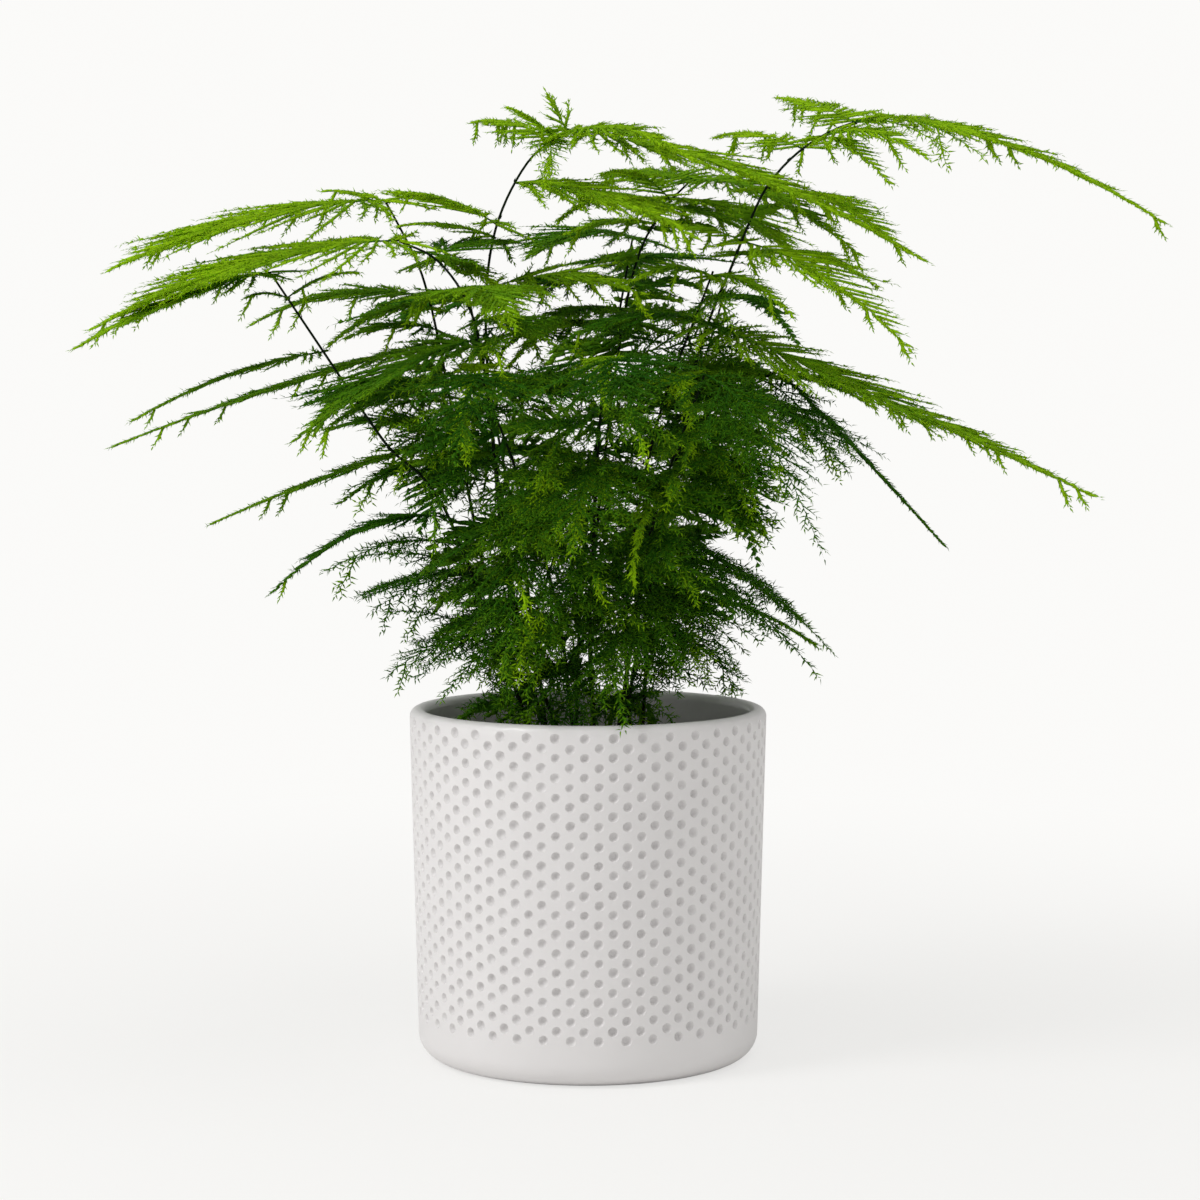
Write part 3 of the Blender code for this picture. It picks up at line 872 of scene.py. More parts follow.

# A spray of the plant: its name, how it grows, its tone from 0 to 1, how full, and how much of its
# arch the weight of its needles leaves. The tone is how young the spray is together with painted
# light: high and outer sprays are set lighter, low, inner and back sprays darker.
Spray = namedtuple("Spray", "name habit tone fullness arch", defaults=(0.8,))
SPRAYS = (
    Spray("left_high", FLAT, 0.96, 1.3, 0.65),
    Spray("left_high_inner", FLAT, 0.92, 1.5),
    Spray("left_long_low", SLIM, 0.80, 1.2),
    Spray("left_long", FLAT, 0.92, 1.3, 0.68),
    Spray("left_inward", FLAT, 0.58, 1.3),
    Spray("left_feather", FLAT, 0.72, 1.2),
    Spray("left_thin_high", SLIM, 0.66, 1.0),
    Spray("left_thin_low", SLIM, 0.66, 1.0),
    Spray("left_dark", FLAT, 0.62, 1.0),
    Spray("left_dark_back", BULK, 0.44, 1.0),
    Spray("left_sweep", SLIM, 0.66, 1.0),
    Spray("left_droop", SLIM, 0.40, 1.0),
    Spray("left_fluff", AIRY, 0.42, 1.0),
    Spray("left_fluff_low", AIRY, 0.42, 1.0),
    Spray("right_high", FLAT, 1.00, 1.1, 0.7),
    Spray("right_high_back", COMB, 0.96, 1.0),
    Spray("right_second", COMB, 0.98, 0.9),
    Spray("centre_high", FLAT, 0.96, 1.2, 0.68),
    Spray("centre_high_left", FLAT, 0.94, 1.0),
    Spray("centre_second", TRIM, 0.94, 1.2),
    Spray("right_third", COMB, 0.98, 1.0),
    Spray("right_fourth", COMB, 1.00, 0.8),
    Spray("right_fourth_back", COMB, 0.86, 0.5),
    Spray("mid_top_left", FLAT, 0.80, 1.0, 0.6),
    Spray("mid_top_right", FLAT, 0.84, 1.1),
    Spray("mid_left", FLAT, 0.58, 1.1),
    Spray("mid_back", FLAT, 0.50, 1.0),
    Spray("centre_bright", COMB, 0.80, 1.0),
    Spray("right_long", FLAT, 0.84, 1.3, 0.45),
    Spray("right_dark_long", SLIM, 0.40, 0.6, 0.15),
    Spray("right_droop_high", AIRY, 0.46, 0.9, 0.6),
    Spray("right_droop_front", AIRY, 0.46, 0.8),
    Spray("right_droop_low", AIRY, 0.44, 1.0),
    Spray("right_fluff_low", AIRY, 0.44, 1.0),
    Spray("right_fluff_inner", AIRY, 0.42, 1.0),
    Spray("front_left_tip", FILL, 0.42, 1.0),
    Spray("front_right_tip", FILL, 0.44, 1.0),
    Spray("front_fan", WEEP, 0.50, 1.0),
    Spray("front_droop_left", WEEP, 0.50, 1.0),
    Spray("front_droop", WEEP, 0.50, 1.0),
    Spray("back_high_left", BULK, 0.42, 0.9),
    Spray("back_high_right", BULK, 0.44, 0.35),
    Spray("back_low_left", BULK, 0.36, 1.0),
    Spray("back_low_right", BULK, 0.36, 0.8),
)

LOBE_RISE_POWER = 0.22
LOBE_FALL_POWER = 1.2
LOBE_FULLNESS = 1.85
FOOT_SHARES = (0.0, 0.05, 0.14, 0.32, 1.0)
FOOT_LEANS = (145.0, 100.0, 62.0)
TIP_LEAN = 0.65
TIP_FRESHNESS = 0.22
HANGING_LENGTHS = (7.0, 13.0)
LIME_HANGING = 0.4
STEM_TONE = 0.03
RIB_ROOT = 1.2 * MM
RIB_FOOT = 0.42 * MM
RIB_TIP = 0.12 * MM
RIB_STEPS = 14
RIBBON_FLATNESS = 0.85

LIGHT_SIDE = np.array([-0.3, -1.0, 0.0])

Rib = namedtuple("Rib", "foot out reach rise arch half_width")


def read_rib(name):
    """A spray's midrib, from its CAD frond: the two square ends, the middle ring and the lobes."""
    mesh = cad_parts["frond_" + name].data
    corners = np.array([[mesh.vertices[i].co[:] for i in p.vertices] for p in mesh.polygons])
    longest = np.linalg.norm(corners - np.roll(corners, 1, axis=1), axis=2).max(axis=1)
    foot = corners[(longest > 0.9 * MM) & (longest < 1.3 * MM)].reshape(-1, 3)
    tip = corners[longest < 0.6 * MM].reshape(-1, 3)
    foot = 0.5 * (foot.min(axis=0) + foot.max(axis=0))
    tip = 0.5 * (tip.min(axis=0) + tip.max(axis=0))
    level = (tip - foot) * np.array([1.0, 1.0, 0.0])
    reach = float(np.linalg.norm(level))
    out = level / reach
    points = node_points("frond_" + name) - foot
    side = np.abs(points @ np.cross(UP, out))
    share = points @ out / reach
    middle = points[(side < 0.6 * MM) & (np.abs(share - 0.5) < 0.03)]
    rise = float(tip[2] - foot[2])
    arch = float(middle[:, 2].mean()) - 0.5 * rise
    return Rib(foot, out, reach, rise, arch, float(side.max()))


def rib_shoot(rib, tone, tilt):
    """The midrib as a shoot that starts inside its cane, its blade tilted towards the light."""
    run = rib.out * rib.reach + UP * (4 * rib.arch + rib.rise)
    bend = -UP * 4 * rib.arch
    start = rib.foot - unit(run) * RIB_ROOT
    blade = unit(UP + LIGHT_SIDE * tilt)
    length = np.linalg.norm(run + bend)
    return Shoots(start[None], (run + unit(run) * RIB_ROOT)[None], bend[None], blade[None],
                  np.array([tone]), np.array([length]))


def lobe_length(share):
    return LOBE_FULLNESS * share ** LOBE_RISE_POWER * (1.0 - share) ** LOBE_FALL_POWER


def pinna_leans(share, habit):
    """Angles off the midrib in degrees: back at its foot, square to it further on, then forward."""
    square = np.interp(share, FOOT_SHARES[-2:], (habit.pinna_lean, TIP_LEAN * habit.pinna_lean))
    turned = np.interp(share, FOOT_SHARES[:-1], (*FOOT_LEANS, habit.pinna_lean)) - habit.pinna_lean
    return square + habit.foot_turn * np.maximum(turned, 0.0)


def grow_pinnae(ribs, half_width, habit, rng):
    """The spray's side branches, longest near its foot. The first point back, and a few hang."""
    owner, share, hand = buds(ribs, habit.pinna_gap * MM, 0.0, 0.98, rng)
    count = len(share)
    lean = np.radians(pinna_leans(share, habit)) * rng.normal(1.0, 0.07, count)
    lift = np.radians(rng.normal(-habit.droop, 3.0, count))
    aim, ahead, blade = aimed(ribs, owner, share, hand, lean, lift)
    plane = ribs.blade[owner]
    aim = unit(aim - plane * habit.levelling * (aim * plane).sum(axis=1, keepdims=True))
    length = 1.05 * half_width * lobe_length(share) * rng.normal(1.0, 0.20, count)
    length = np.maximum(length, 3.0 * MM)
    hangs = rng.random(count) < habit.hanging
    aim[hangs] = unit(0.45 * aim[hangs] - UP)
    length[hangs] = rng.uniform(*HANGING_LENGTHS, hangs.sum()) * habit.hang_size * MM
    face = np.where(hangs[:, None], LIGHT_SIDE, plane)
    level_ahead = unit(ahead * np.array([1.0, 1.0, 0.4]))
    curl = level_ahead * habit.pinna_curl - UP * habit.sag * (length / (30 * MM))[:, None]
    run = aim * length[:, None]
    bend = curl * length[:, None]
    over = unit(np.cross(run, np.cross(face, run)))
    fresh = TIP_FRESHNESS * np.clip((share - 0.55) / 0.45, 0.0, 1.0)
    fresh += hangs * np.where(rng.random(count) < LIME_HANGING, 0.34, 0.08)
    tone = ribs.tone[owner] + fresh + rng.normal(0.0, 0.05, count)
    return Shoots(shoots_at(ribs, owner, share), run, bend, over, tone, length)


def grow_twigs(pinnae, habit, rng):
    """Side twigs on the longer branches."""
    long_ones = pinnae.length > 7.0 * MM
    carriers = Shoots(*[values[long_ones] for values in pinnae])
    if not len(carriers.start):
        return carriers
    owner, share, hand = buds(carriers, habit.twig_gap * MM, 0.10, 0.94, rng)
    lean = np.radians(habit.twig_lean) * rng.normal(1.0, 0.10, len(share))
    lift = np.radians(rng.normal(0.0, 9.0, len(share)))
    aim, ahead, blade = aimed(carriers, owner, share, hand, lean, lift)
    most = np.minimum(habit.twig_share * carriers.length[owner], habit.twig_most * MM)
    length = most * (1.0 - share) ** 0.55 * rng.normal(1.0, 0.12, len(share))
    length = np.maximum(length, 1.2 * MM)
    run = aim * length[:, None]
    bend = (ahead * 0.22 - UP * 0.05) * length[:, None]
    tone = carriers.tone[owner] + 0.14 * (share - 0.35) + rng.normal(0.0, 0.03, len(share))
    return Shoots(shoots_at(carriers, owner, share), run, bend, blade, tone, length)


def grow_needles(shoots, habit, settings, first, tipped, rng):
    """Needles along shoots, left and right in turn, and one at each tip where it is tipped."""
    owner, share, hand = buds(shoots, habit.needle_gap * MM, first, 0.98, rng)
    tips = np.arange(len(shoots.start) if tipped else 0)
    owner = np.concatenate([owner, tips])
    share = np.concatenate([share, np.ones(len(tips))])
    hand = np.concatenate([hand, np.ones(len(tips))])
    at_tip = share >= 1.0
    lean = np.where(at_tip, 0.0, np.radians(rng.normal(habit.needle_lean, 9.0, len(share))))
    lift = np.radians(rng.normal(0.0, habit.needle_lift, len(share)))
    aim, ahead, blade = aimed(shoots, owner, share, hand, lean, lift)
    size = habit.needle_size * (1.0 - 0.25 * share) * rng.normal(1.0, 0.12, len(share))
    length = settings.needle_length * size
    width = settings.needle_width * (0.6 + 0.4 * size)
    tone = shoots.tone[owner] + rng.normal(0.0, 0.04, len(share))
    points, faces = needle_mesh(shoots_at(shoots, owner, share), aim, blade, length, width)
    return (points, faces), (tone[:, None] + NEEDLE_TONES).ravel()


def rib_mesh(ribs):
    """The midribs: dark and wiry at the foot, thin and green at the tip."""
    points, faces = twig_mesh(ribs, RIB_FOOT, RIB_TIP, 1.0, RIB_STEPS)
    share = np.concatenate([np.repeat(np.arange(RIB_STEPS) / RIB_STEPS, 3), [1.0]])
    tone_share = np.clip((share - 0.02) / 0.12, 0.0, 1.0)
    tone = STEM_TONE + (ribs.tone[:, None] * 0.75 - STEM_TONE) * tone_share[None, :]
    return (points, faces), tone.ravel()


def spray_parts(rib, habit, tone, tilt, settings, rng):
    ribs = rib_shoot(rib, tone, tilt)
    pinnae = grow_pinnae(ribs, rib.half_width, habit, rng)
    twigs = grow_twigs(pinnae, habit, rng)
    plush = habit.plush * MM
    ribbon = twig_mesh(pinnae, plush, 0.8 * plush, RIBBON_FLATNESS, 2)
    # Painted shade: the ribbons under the needles are set darker than their shoots by the habit's depth,
    # standing in for shade between the needles.
    parts = [rib_mesh(ribs), (ribbon, np.repeat(pinnae.tone - habit.depth, 7))]
    if len(twigs.start):
        side_ribbon = twig_mesh(twigs, plush, plush, RIBBON_FLATNESS, 1)
        # The side ribbons carry the same painted shade.
        parts.append((side_ribbon, np.repeat(twigs.tone - habit.depth, 4)))
        parts.append(grow_needles(twigs, habit, settings, 0.05, False, rng))
    parts.append(grow_needles(pinnae, habit, settings, 0.06, True, rng))
    parts.append(grow_needles(ribs, habit, settings, 0.12, True, rng))
    return parts


def foliage_mesh(name, parts):
    points, faces = joined([shape for shape, tone in parts])
    mesh = mesh_of(name, points, faces)
    tone = mesh.attributes.new("tone", "FLOAT", "POINT")
    tones = np.concatenate([tone for shape, tone in parts])
    tone.data.foreach_set("value", np.clip(tones, 0.0, 1.0).astype(np.float32))
    return mesh


def make_fronds(settings):
    material = foliage_material(settings)
    for spray in SPRAYS:
        name = "spray_" + spray.name
        rng = own_random("frond", spray.name)
        tilt = rng.uniform(0.12, 0.24)
        rib = read_rib(spray.name)
        rib = rib._replace(half_width=spray.fullness * rib.half_width, arch=spray.arch * rib.arch)
        parts = spray_parts(rib, spray.habit, spray.tone, tilt, settings, rng)
        add_piece(name, foliage_mesh(name, parts), material, ["frond_" + spray.name])


# Small sprays at the joints of the canes, which fill the crown. Heights and reaches in millimetres.

CROWN = np.array([
    # height, left, right, depth
    (141, -54, 44, 54), (160, -62, 55, 70), (180, -66, 66, 84), (199, -66, 78, 94),
    (219, -74, 86, 100), (238, -86, 88, 104), (258, -84, 88, 104), (277, -76, 74, 96),
    (297, -46, 68, 84), (316, -30, 74, 66), (335, -8, 74, 46), (350, 4, 56, 30),
])
JOINT_GAP = 12.5 * MM
JOINT_START = 10.0 * MM
JOINT_CROWDING = 1.05
SHORTEST_SPRAY = 24.0 * MM


def in_crown(point):
    """Whether a point lies in the leafy part of the plant."""
    x, y, z = point / MM
    left, right, deep = (np.interp(z, CROWN[:, 0], CROWN[:, column]) for column in (1, 2, 3))
    middle, half = 0.5 * (left + right), 0.5 * (right - left)
    return z > CROWN[0, 0] - 12 and ((x - middle) / half) ** 2 + (y / deep) ** 2 < 1.0


def joint_rib(joint, outward, height, rng):
    """A small spray's midrib from a joint, shortened until it stays in the crown."""
    turn = outward + rng.choice([-1.0, 1.0]) * math.radians(rng.uniform(12, 85))
    out = np.array([math.cos(turn), math.sin(turn), 0.0])
    reach = rng.uniform(46, 76) * MM
    slope = -(0.40 - 0.42 * height) * rng.uniform(0.6, 1.3)
    while reach > SHORTEST_SPRAY:
        tip = joint + out * reach + UP * slope * reach
        if in_crown(tip):
            wide = reach * rng.uniform(0.28, 0.38)
            return Rib(joint, out, reach, slope * reach, reach * rng.uniform(0.06, 0.14), wide)
        reach *= 0.85
    return None


def cane_route(cane):
    """The cane's smooth line and the length from its foot to each point of it."""
    line = smooth_line(cane.points, CANE_FINE)
    return line, np.concatenate([[0.0], np.cumsum(np.linalg.norm(np.diff(line, axis=0), axis=1))])


def joints_of(cane):
    """Places along a cane where side sprays leave, closer together near the soil."""
    line, along = cane_route(cane)
    count = int((along[-1] - JOINT_START) / JOINT_GAP)
    stops = JOINT_START + (along[-1] - JOINT_START) * (np.arange(count) / count) ** JOINT_CROWDING
    return np.stack([np.interp(stops, along, line[:, axis]) for axis in range(3)], axis=-1)


def placed_rib(cane, extra):
    """The midrib of a spray from a cane to a chosen tip."""
    line, along = cane_route(cane)
    foot = np.array([np.interp(extra.at * along[-1], along, line[:, axis]) for axis in range(3)])
    tip = np.array([extra.x, extra.y, extra.z]) * MM
    level = (tip - foot) * np.array([1.0, 1.0, 0.0])
    reach = float(np.linalg.norm(level))
    return Rib(foot, level / reach, reach, float(tip[2] - foot[2]), extra.arch * reach, extra.half_width * MM)


def joint_sprays(cane, settings, rng):
    """Sprays at the joints of one cane, which fill the crown."""
    parts = []
    for joint in joints_of(cane):
        height = (joint[2] - SOIL_HIGH.z) / (200 * MM)
        outward = math.atan2(joint[1], joint[0]) + rng.normal(0.0, 0.2)
        if not in_crown(joint):
            continue
        rib = joint_rib(joint, outward, height, rng)
        if rib is None:
            continue
        habit = BULK if rib.out[1] > 0.2 else AIRY if joint[2] < 190 * MM else FILL
        # Painted light: sprays higher up the crown are set lighter, lower ones darker.
        tone = 0.40 + 0.34 * height + rng.normal(0.0, 0.06)
        tilt = rng.uniform(0.5, 1.1) if rib.out[1] < 0.2 else rng.uniform(0.4, 0.8)
        parts += spray_parts(rib, habit, tone, tilt, settings, rng)
    return parts


def make_side_sprays(settings):
    material = bpy.data.materials["fern_needle_green"]
    for cane in CANES:
        parts = joint_sprays(cane, settings, own_random("joints", cane.name))
        for number, extra in enumerate(EXTRAS):
            if extra.cane == cane.name:
                rng = own_random("extra", cane.name, str(number))
                tilt = rng.uniform(0.2, 0.4)
                parts += spray_parts(placed_rib(cane, extra), extra.habit, extra.tone, tilt, settings, rng)
        name = "side_sprays_" + cane.name
        add_piece(name, foliage_mesh(name, parts), material, [])


# Side sprays with a place of their own: the cane, how far up it, the tip and the half width in
# millimetres, the height of its arch as a share of its reach, how it grows and its tone. The tone is
# how young the spray is together with painted light: high sprays lighter, low and back ones darker.
Extra = namedtuple("Extra", "cane at x y z half_width arch habit tone")
EXTRAS = (
    Extra("centre_tall", 0.72, 22, -45, 297, 20, 0.10, COMB, 0.86),
    Extra("right_mid", 0.79, -44, -40, 287, 24, 0.10, FLAT, 0.50),
    Extra("right_mid", 0.74, -30, -62, 269, 18, 0.10, FLAT, 0.66),
    Extra("right_tall", 0.61, -10, -50, 279, 20, 0.10, FLAT, 0.48),
    Extra("right_side", 0.79, 5, -50, 260, 22, 0.10, FLAT, 0.45),
    Extra("centre_tall", 0.55, 5, -40, 266, 22, 0.10, FLAT, 0.50),
    Extra("left_upper", 0.55, -78, -40, 249, 18, 0.10, FLAT, 0.55),
    Extra("left_front", 0.71, -46, -76, 251, 11, 0.30, FLAT, 0.94),
    Extra("front", 1.00, 6, -100, 256, 11, 0.30, FLAT, 0.88),
    Extra("right_low", 0.76, 39, -60, 238, 11, 0.30, FLAT, 0.88),
    Extra("front", 0.69, -6, -92, 202, 12, 0.30, FLAT, 0.92),
    Extra("front_right", 0.72, 16, -84, 194, 11, 0.30, FLAT, 0.78),
    Extra("left_front", 0.84, -30, -75, 283, 9, 0.30, FLAT, 0.92),
    Extra("front_left", 0.51, -43, -72, 170, 16, 0.10, WEEP, 0.48),
    Extra("front", 0.50, -23, -72, 148, 14, 0.10, WEEP, 0.54),
    Extra("front", 0.40, 14, -76, 137, 12, 0.10, WEEP, 0.54),
    Extra("front_right", 0.40, 36, -58, 156, 14, 0.10, WEEP, 0.48),
    Extra("front_left", 0.39, -56, -48, 145, 16, 0.10, WEEP, 0.46),
    Extra("left_front", 0.30, -60, -40, 161, 16, 0.10, WEEP, 0.46),
    Extra("right_low", 0.31, 66, -30, 166, 14, 0.10, AIRY, 0.46),
    Extra("right_side", 0.38, 58, -20, 154, 14, 0.10, AIRY, 0.42),
    Extra("back_right", 0.30, 45, 44, 154, 18, 0.10, AIRY, 0.34),
    Extra("back_left", 0.31, -56, 44, 158, 18, 0.10, AIRY, 0.34),
    Extra("left_low", 0.95, -85, -62, 305, 6, 0.10, SLIM, 0.70),
    Extra("left_low", 0.95, -126, -60, 296, 4, 0.10, SLIM, 0.70),
    Extra("right_tall", 0.91, 125, -70, 346, 14, 0.10, COMB, 0.96),
    Extra("right_tall", 0.96, 131, -60, 351, 8, 0.10, AIRY, 0.98),
    Extra("right_tall", 0.99, 147, -58, 347, 7, 0.10, AIRY, 0.98),
    Extra("centre_tall", 0.98, -30, -45, 367, 7, 0.06, FLAT, 0.94),
    Extra("centre_tall", 0.97, -13, -60, 340, 9, 0.10, AIRY, 0.88),
    Extra("right_mid", 0.95, 5, -20, 343, 12, 0.10, FLAT, 0.92),
    Extra("right_side", 0.35, 88, -40, 164, 6, 0.10, SLIM, 0.52),
    Extra("back_mid", 0.57, 0, 110, 154, 20, 0.10, FILL, 0.36),
    Extra("centre_tall", 0.99, 41, -70, 344, 14, 0.10, FLAT, 0.92),
    Extra("right_mid", 1.00, 105, -20, 312, 18, 0.10, FLAT, 0.80),
    Extra("right_mid", 0.93, -12, -40, 324, 16, 0.10, FLAT, 0.78),
    Extra("right_mid", 0.93, 64, 40, 324, 16, 0.10, FLAT, 0.72),
    Extra("right_mid", 0.70, -33, -50, 276, 20, 0.10, FLAT, 0.50),
    Extra("right_mid", 0.60, -31, -40, 255, 20, 0.10, FILL, 0.46),
    Extra("left_upper", 0.64, -98, -60, 246, 16, 0.10, FLAT, 0.58),
    Extra("left_upper", 0.53, -95, -30, 218, 14, 0.10, FLAT, 0.50),
    Extra("left_low", 0.41, -98, -60, 194, 14, 0.10, AIRY, 0.46),
    Extra("right_side", 0.96, 98, -30, 231, 12, 0.15, AIRY, 0.46),
    Extra("left_upper", 0.32, -84, -20, 176, 14, 0.10, AIRY, 0.42),
    Extra("left_upper", 0.80, -98, -40, 278, 10, 0.10, FLAT, 0.72),
    Extra("left_upper", 0.88, -30, -40, 296, 14, 0.12, FLAT, 0.80),
    Extra("right_tall", 0.91, 112, -60, 337, 10, 0.10, COMB, 0.97),
    Extra("right_low", 0.99, 77, -50, 289, 10, 0.10, FLAT, 0.86),
    Extra("right_low", 0.99, 18, -44, 303, 13, 0.10, FLAT, 0.82),
    Extra("left_front", 0.80, -12, -70, 278, 16, 0.12, FLAT, 0.62),
    Extra("right_side", 0.35, 62, 0, 159, 12, 0.10, AIRY, 0.44),
    Extra("front", 0.82, -24, -95, 244, 18, 0.14, FILL, 0.50),
    Extra("front_right", 0.66, 5, -90, 233, 18, 0.14, FILL, 0.46),
    Extra("front_left", 0.66, -10, -80, 244, 18, 0.14, FILL, 0.48),
    Extra("right_low", 0.66, 56, -70, 226, 16, 0.16, FILL, 0.46),
    Extra("right_low", 0.72, 86, -40, 237, 14, 0.14, FILL, 0.48),
    Extra("left_front", 0.55, -57, -80, 215, 16, 0.16, FILL, 0.48),
    Extra("left_upper", 0.32, -92, -10, 196, 12, 0.10, AIRY, 0.44),
    Extra("centre_tall", 1.00, -15, -24, 373, 9, 0.06, FLAT, 0.96),
    Extra("centre_tall", 0.66, 1, -30, 276, 20, 0.10, FILL, 0.46),
    Extra("centre_tall", 0.57, 5, -35, 255, 18, 0.10, FILL, 0.44),
    Extra("left_upper", 0.76, -93, -20, 281, 12, 0.10, FLAT, 0.62),
    Extra("left_upper", 0.58, -106, 20, 244, 16, 0.10, FLAT, 0.52),
    Extra("left_upper", 0.50, -93, -20, 223, 12, 0.10, AIRY, 0.46),
    Extra("left_low", 0.22, -77, -30, 177, 10, 0.10, AIRY, 0.44),
    Extra("right_mid", 0.90, -9, 10, 322, 14, 0.08, TRIM, 0.84),
    Extra("centre_tall", 0.71, -67, -30, 294, 15, 0.08, TRIM, 0.70),
    Extra("centre_tall", 0.80, -72, -20, 324, 10, 0.08, TRIM, 0.88),
    Extra("right_side", 0.99, 108, -20, 256, 10, 0.08, FLAT, 0.72),
    Extra("right_side", 0.92, 104, 20, 228, 14, 0.10, AIRY, 0.46),
    Extra("right_tall", 0.73, 33, 0, 325, 12, 0.06, COMB, 0.86),
    Extra("left_upper", 1.00, -101, -10, 338, 8, 0.06, FLAT, 0.92),
)

CANES = [read_cane(name[len("cane_"):]) for name in sorted(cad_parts) if name.startswith("cane_")]


# Stage

FLOOR_RADIUS = 6.0
BACKDROP_WHITE = (0.965, 0.960, 0.945)
CAMERA_PLACE = (0.0047, -1.200, 0.269)
CAMERA_PITCH = 4.27
CAMERA_LENS = 92.1


def floor_material():
    """Pale floor that glows white for the camera, more so further out, so that it runs into the
    backdrop's own white. Near the pot the glow is painted light that lightens the cast shadows.
    """
    material, wiring, shader, place = new_material("pale_floor")
    shader.inputs["Base Color"].default_value = (0.90, 0.895, 0.885, 1.0)
    shader.inputs["Roughness"].default_value = 0.9
    shader.inputs["Specular IOR Level"].default_value = 0.1
    away = wiring.add("ShaderNodeVectorMath", operation="LENGTH")
    wiring.join(place, away.inputs[0])
    fade = wiring.add("ShaderNodeMapRange", interpolation_type="SMOOTHSTEP")
    fade.inputs["From Min"].default_value = 0.12
    fade.inputs["From Max"].default_value = 0.75
    # Painted light: even next to the pot the camera sees 68 percent glow, which lightens the cast shadows
    # there.
    fade.inputs["To Min"].default_value = 0.68
    wiring.join(away.outputs["Value"], fade.inputs["Value"])
    seen = wiring.add("ShaderNodeLightPath").outputs["Is Camera Ray"]
    glow = wiring.add("ShaderNodeEmission")
    glow.inputs["Color"].default_value = (*BACKDROP_WHITE, 1.0)
    blend = wiring.add("ShaderNodeMixShader")
    wiring.join(wiring.maths("MULTIPLY", fade.outputs["Result"], seen), blend.inputs["Fac"])
    wiring.join(shader.outputs["BSDF"], blend.inputs[1])
    wiring.join(glow.outputs["Emission"], blend.inputs[2])
    leave = material.node_tree.nodes["Material Output"]
    wiring.join(blend.outputs["Shader"], leave.inputs["Surface"])
    return material


def make_floor():
    deselect_all()
    bpy.ops.mesh.primitive_circle_add(vertices=96, radius=FLOOR_RADIUS, fill_type="NGON")
    floor = bpy.context.active_object
    floor.name = "studio_floor"
    floor.data.materials.append(floor_material())


def make_world(strength):
    bpy.context.scene.view_settings.view_transform = "Standard"
    world = bpy.data.worlds.new("studio_white")
    world.use_nodes = True
    bpy.context.scene.world = world
    wiring = Wiring(world.node_tree)
    background = world.node_tree.nodes["Background"]
    background.inputs["Color"].default_value = (*BACKDROP_WHITE, 1.0)
    seen = wiring.add("ShaderNodeLightPath").outputs["Is Camera Ray"]
    wiring.join(wiring.spread(seen, strength, 1.0), background.inputs["Strength"])


def add_soft_light(name, place, target, size, power):
    deselect_all()
    bpy.ops.object.light_add(type="AREA", location=place)
    light = bpy.context.active_object
    light.name = name
    light.data.shape = "DISK"
    light.data.size = size
    light.data.energy = power
    light.rotation_euler = (Vector(target) - Vector(place)).to_track_quat("-Z", "Y").to_euler()


def make_camera():
    bpy.ops.object.camera_add(
        location=CAMERA_PLACE, rotation=(math.radians(90.0 - CAMERA_PITCH), 0.0, 0.0))
    camera = bpy.context.active_object
    camera.data.lens = CAMERA_LENS
    camera.data.sensor_width = 36.0
    camera.data.clip_start = 0.05
    camera.data.clip_end = 50.0
    bpy.context.scene.camera = camera


class FERN_OT_pot(bpy.types.Operator):
    """Turn the stoneware pot with its staggered dimples"""
    bl_idname = "fern.pot"
    bl_label = "Pot"

    def execute(self, context):
        make_pot(context.scene.fern_pot)
        return {"FINISHED"}


class FERN_OT_soil(bpy.types.Operator):
    """Fill the pot with potting mix and loose crumbs"""
    bl_idname = "fern.soil"
    bl_label = "Potting mix"

    def execute(self, context):
        make_soil(context.scene.fern_soil)
        return {"FINISHED"}


class FERN_OT_canes(bpy.types.Operator):
    """Draw the wiry canes with their dry scales"""
    bl_idname = "fern.canes"
    bl_label = "Canes"

    def execute(self, context):
        make_canes(context.scene.fern_canes)
        return {"FINISHED"}


class FERN_OT_fronds(bpy.types.Operator):
    """Grow the flat sprays of needles on the canes"""
    bl_idname = "fern.fronds"
    bl_label = "Fronds"

    def execute(self, context):
        make_fronds(context.scene.fern_foliage)
        return {"FINISHED"}


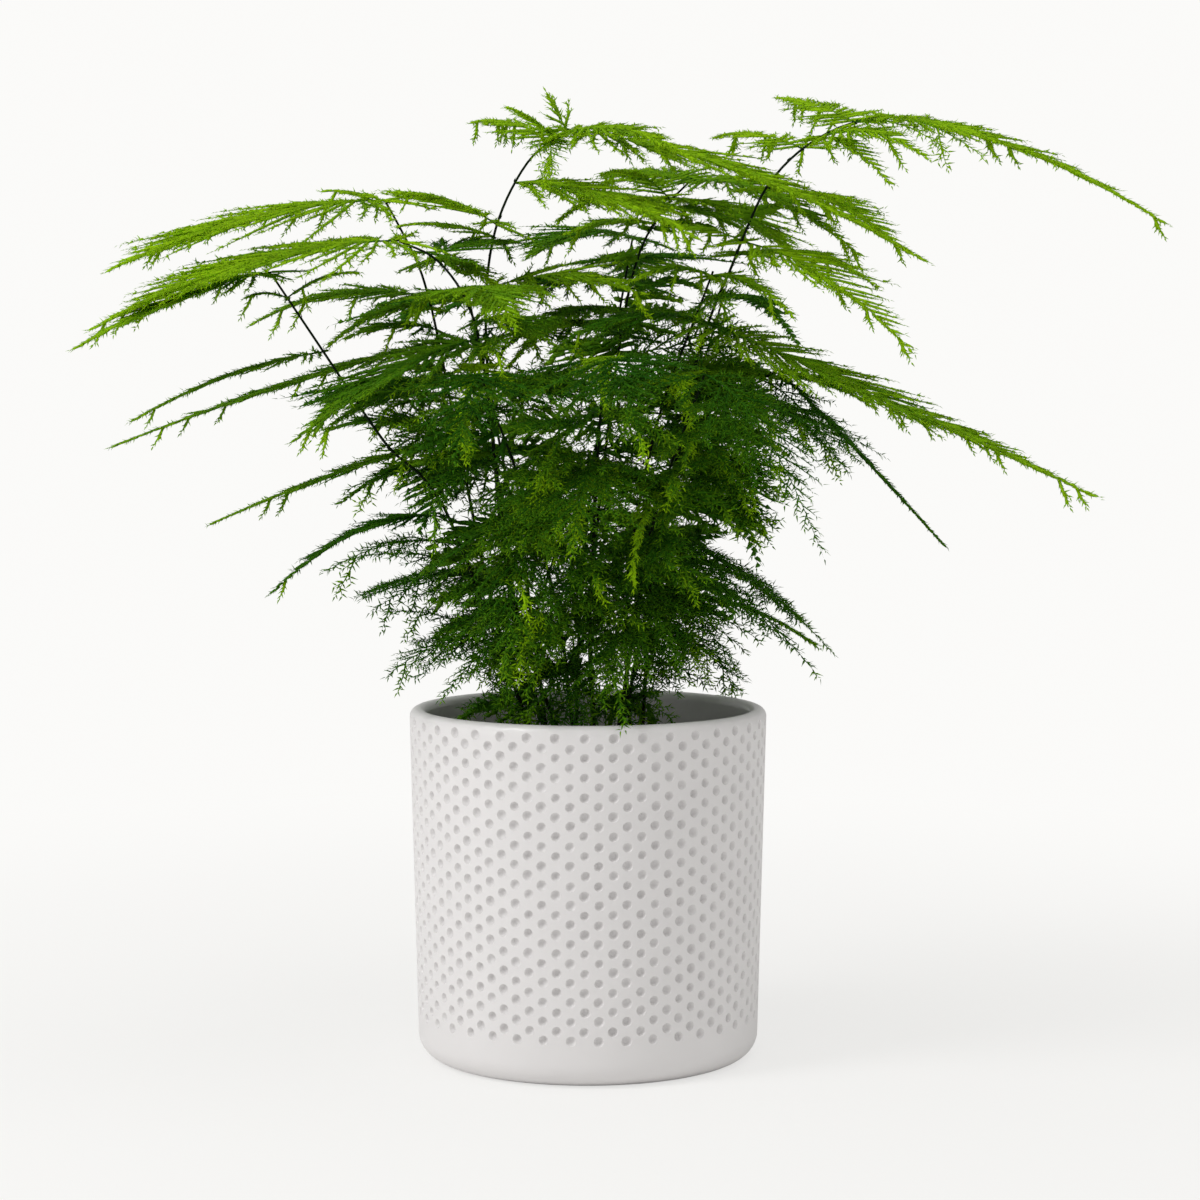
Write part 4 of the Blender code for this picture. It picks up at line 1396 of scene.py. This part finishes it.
class FERN_OT_side_sprays(bpy.types.Operator):
    """Grow the small sprays at the joints of the canes"""
    bl_idname = "fern.side_sprays"
    bl_label = "Side sprays"

    def execute(self, context):
        make_side_sprays(context.scene.fern_foliage)
        return {"FINISHED"}


class FERN_OT_stage(bpy.types.Operator):
    """Set the pale floor, the soft lights and the camera"""
    bl_idname = "fern.stage"
    bl_label = "Stage"

    def execute(self, context):
        settings = context.scene.fern_stage
        make_floor()
        make_world(settings.room_light)
        add_soft_light("side_softbox", (-1.5, -0.95, 1.75), (0.0, 0.0, 0.1), 0.8, settings.key_power)
        add_soft_light("low_softbox", (-1.5, -0.45, 0.42), (0.0, 0.0, 0.12), 0.5, settings.low_power)
        add_soft_light("top_softbox", (0.4, -0.3, 1.95), (0.0, 0.0, 0.1), 1.2, settings.top_power)
        make_camera()
        return {"FINISHED"}


class FERN_PT_panel(bpy.types.Panel):
    """Lists the pieces and what can be changed in each"""
    bl_label = "Asparagus fern"
    bl_idname = "FERN_PT_panel"
    bl_space_type = "VIEW_3D"
    bl_region_type = "UI"
    bl_category = "Fern"

    def draw(self, context):
        for operator in OPERATORS:
            self.layout.operator(operator.bl_idname)
        for group in SETTINGS:
            box = self.layout.box()
            settings = getattr(context.scene, group)
            for name in settings.__annotations__:
                box.prop(settings, name)


OPERATORS = (FERN_OT_pot, FERN_OT_soil, FERN_OT_canes, FERN_OT_fronds, FERN_OT_side_sprays, FERN_OT_stage)


def register():
    for group in SETTINGS.values():
        bpy.utils.register_class(group)
    for name, group in SETTINGS.items():
        setattr(bpy.types.Scene, name, bpy.props.PointerProperty(type=group))
    for operator in OPERATORS:
        bpy.utils.register_class(operator)
    bpy.utils.register_class(FERN_PT_panel)


def unregister():
    bpy.utils.unregister_class(FERN_PT_panel)
    for operator in reversed(OPERATORS):
        bpy.utils.unregister_class(operator)
    for name, group in SETTINGS.items():
        delattr(bpy.types.Scene, name)
        bpy.utils.unregister_class(group)


def main():
    register()
    bpy.ops.fern.pot()
    bpy.ops.fern.soil()
    bpy.ops.fern.canes()
    bpy.ops.fern.fronds()
    bpy.ops.fern.side_sprays()
    bpy.ops.fern.stage()


if __name__ == "__main__":
    main()
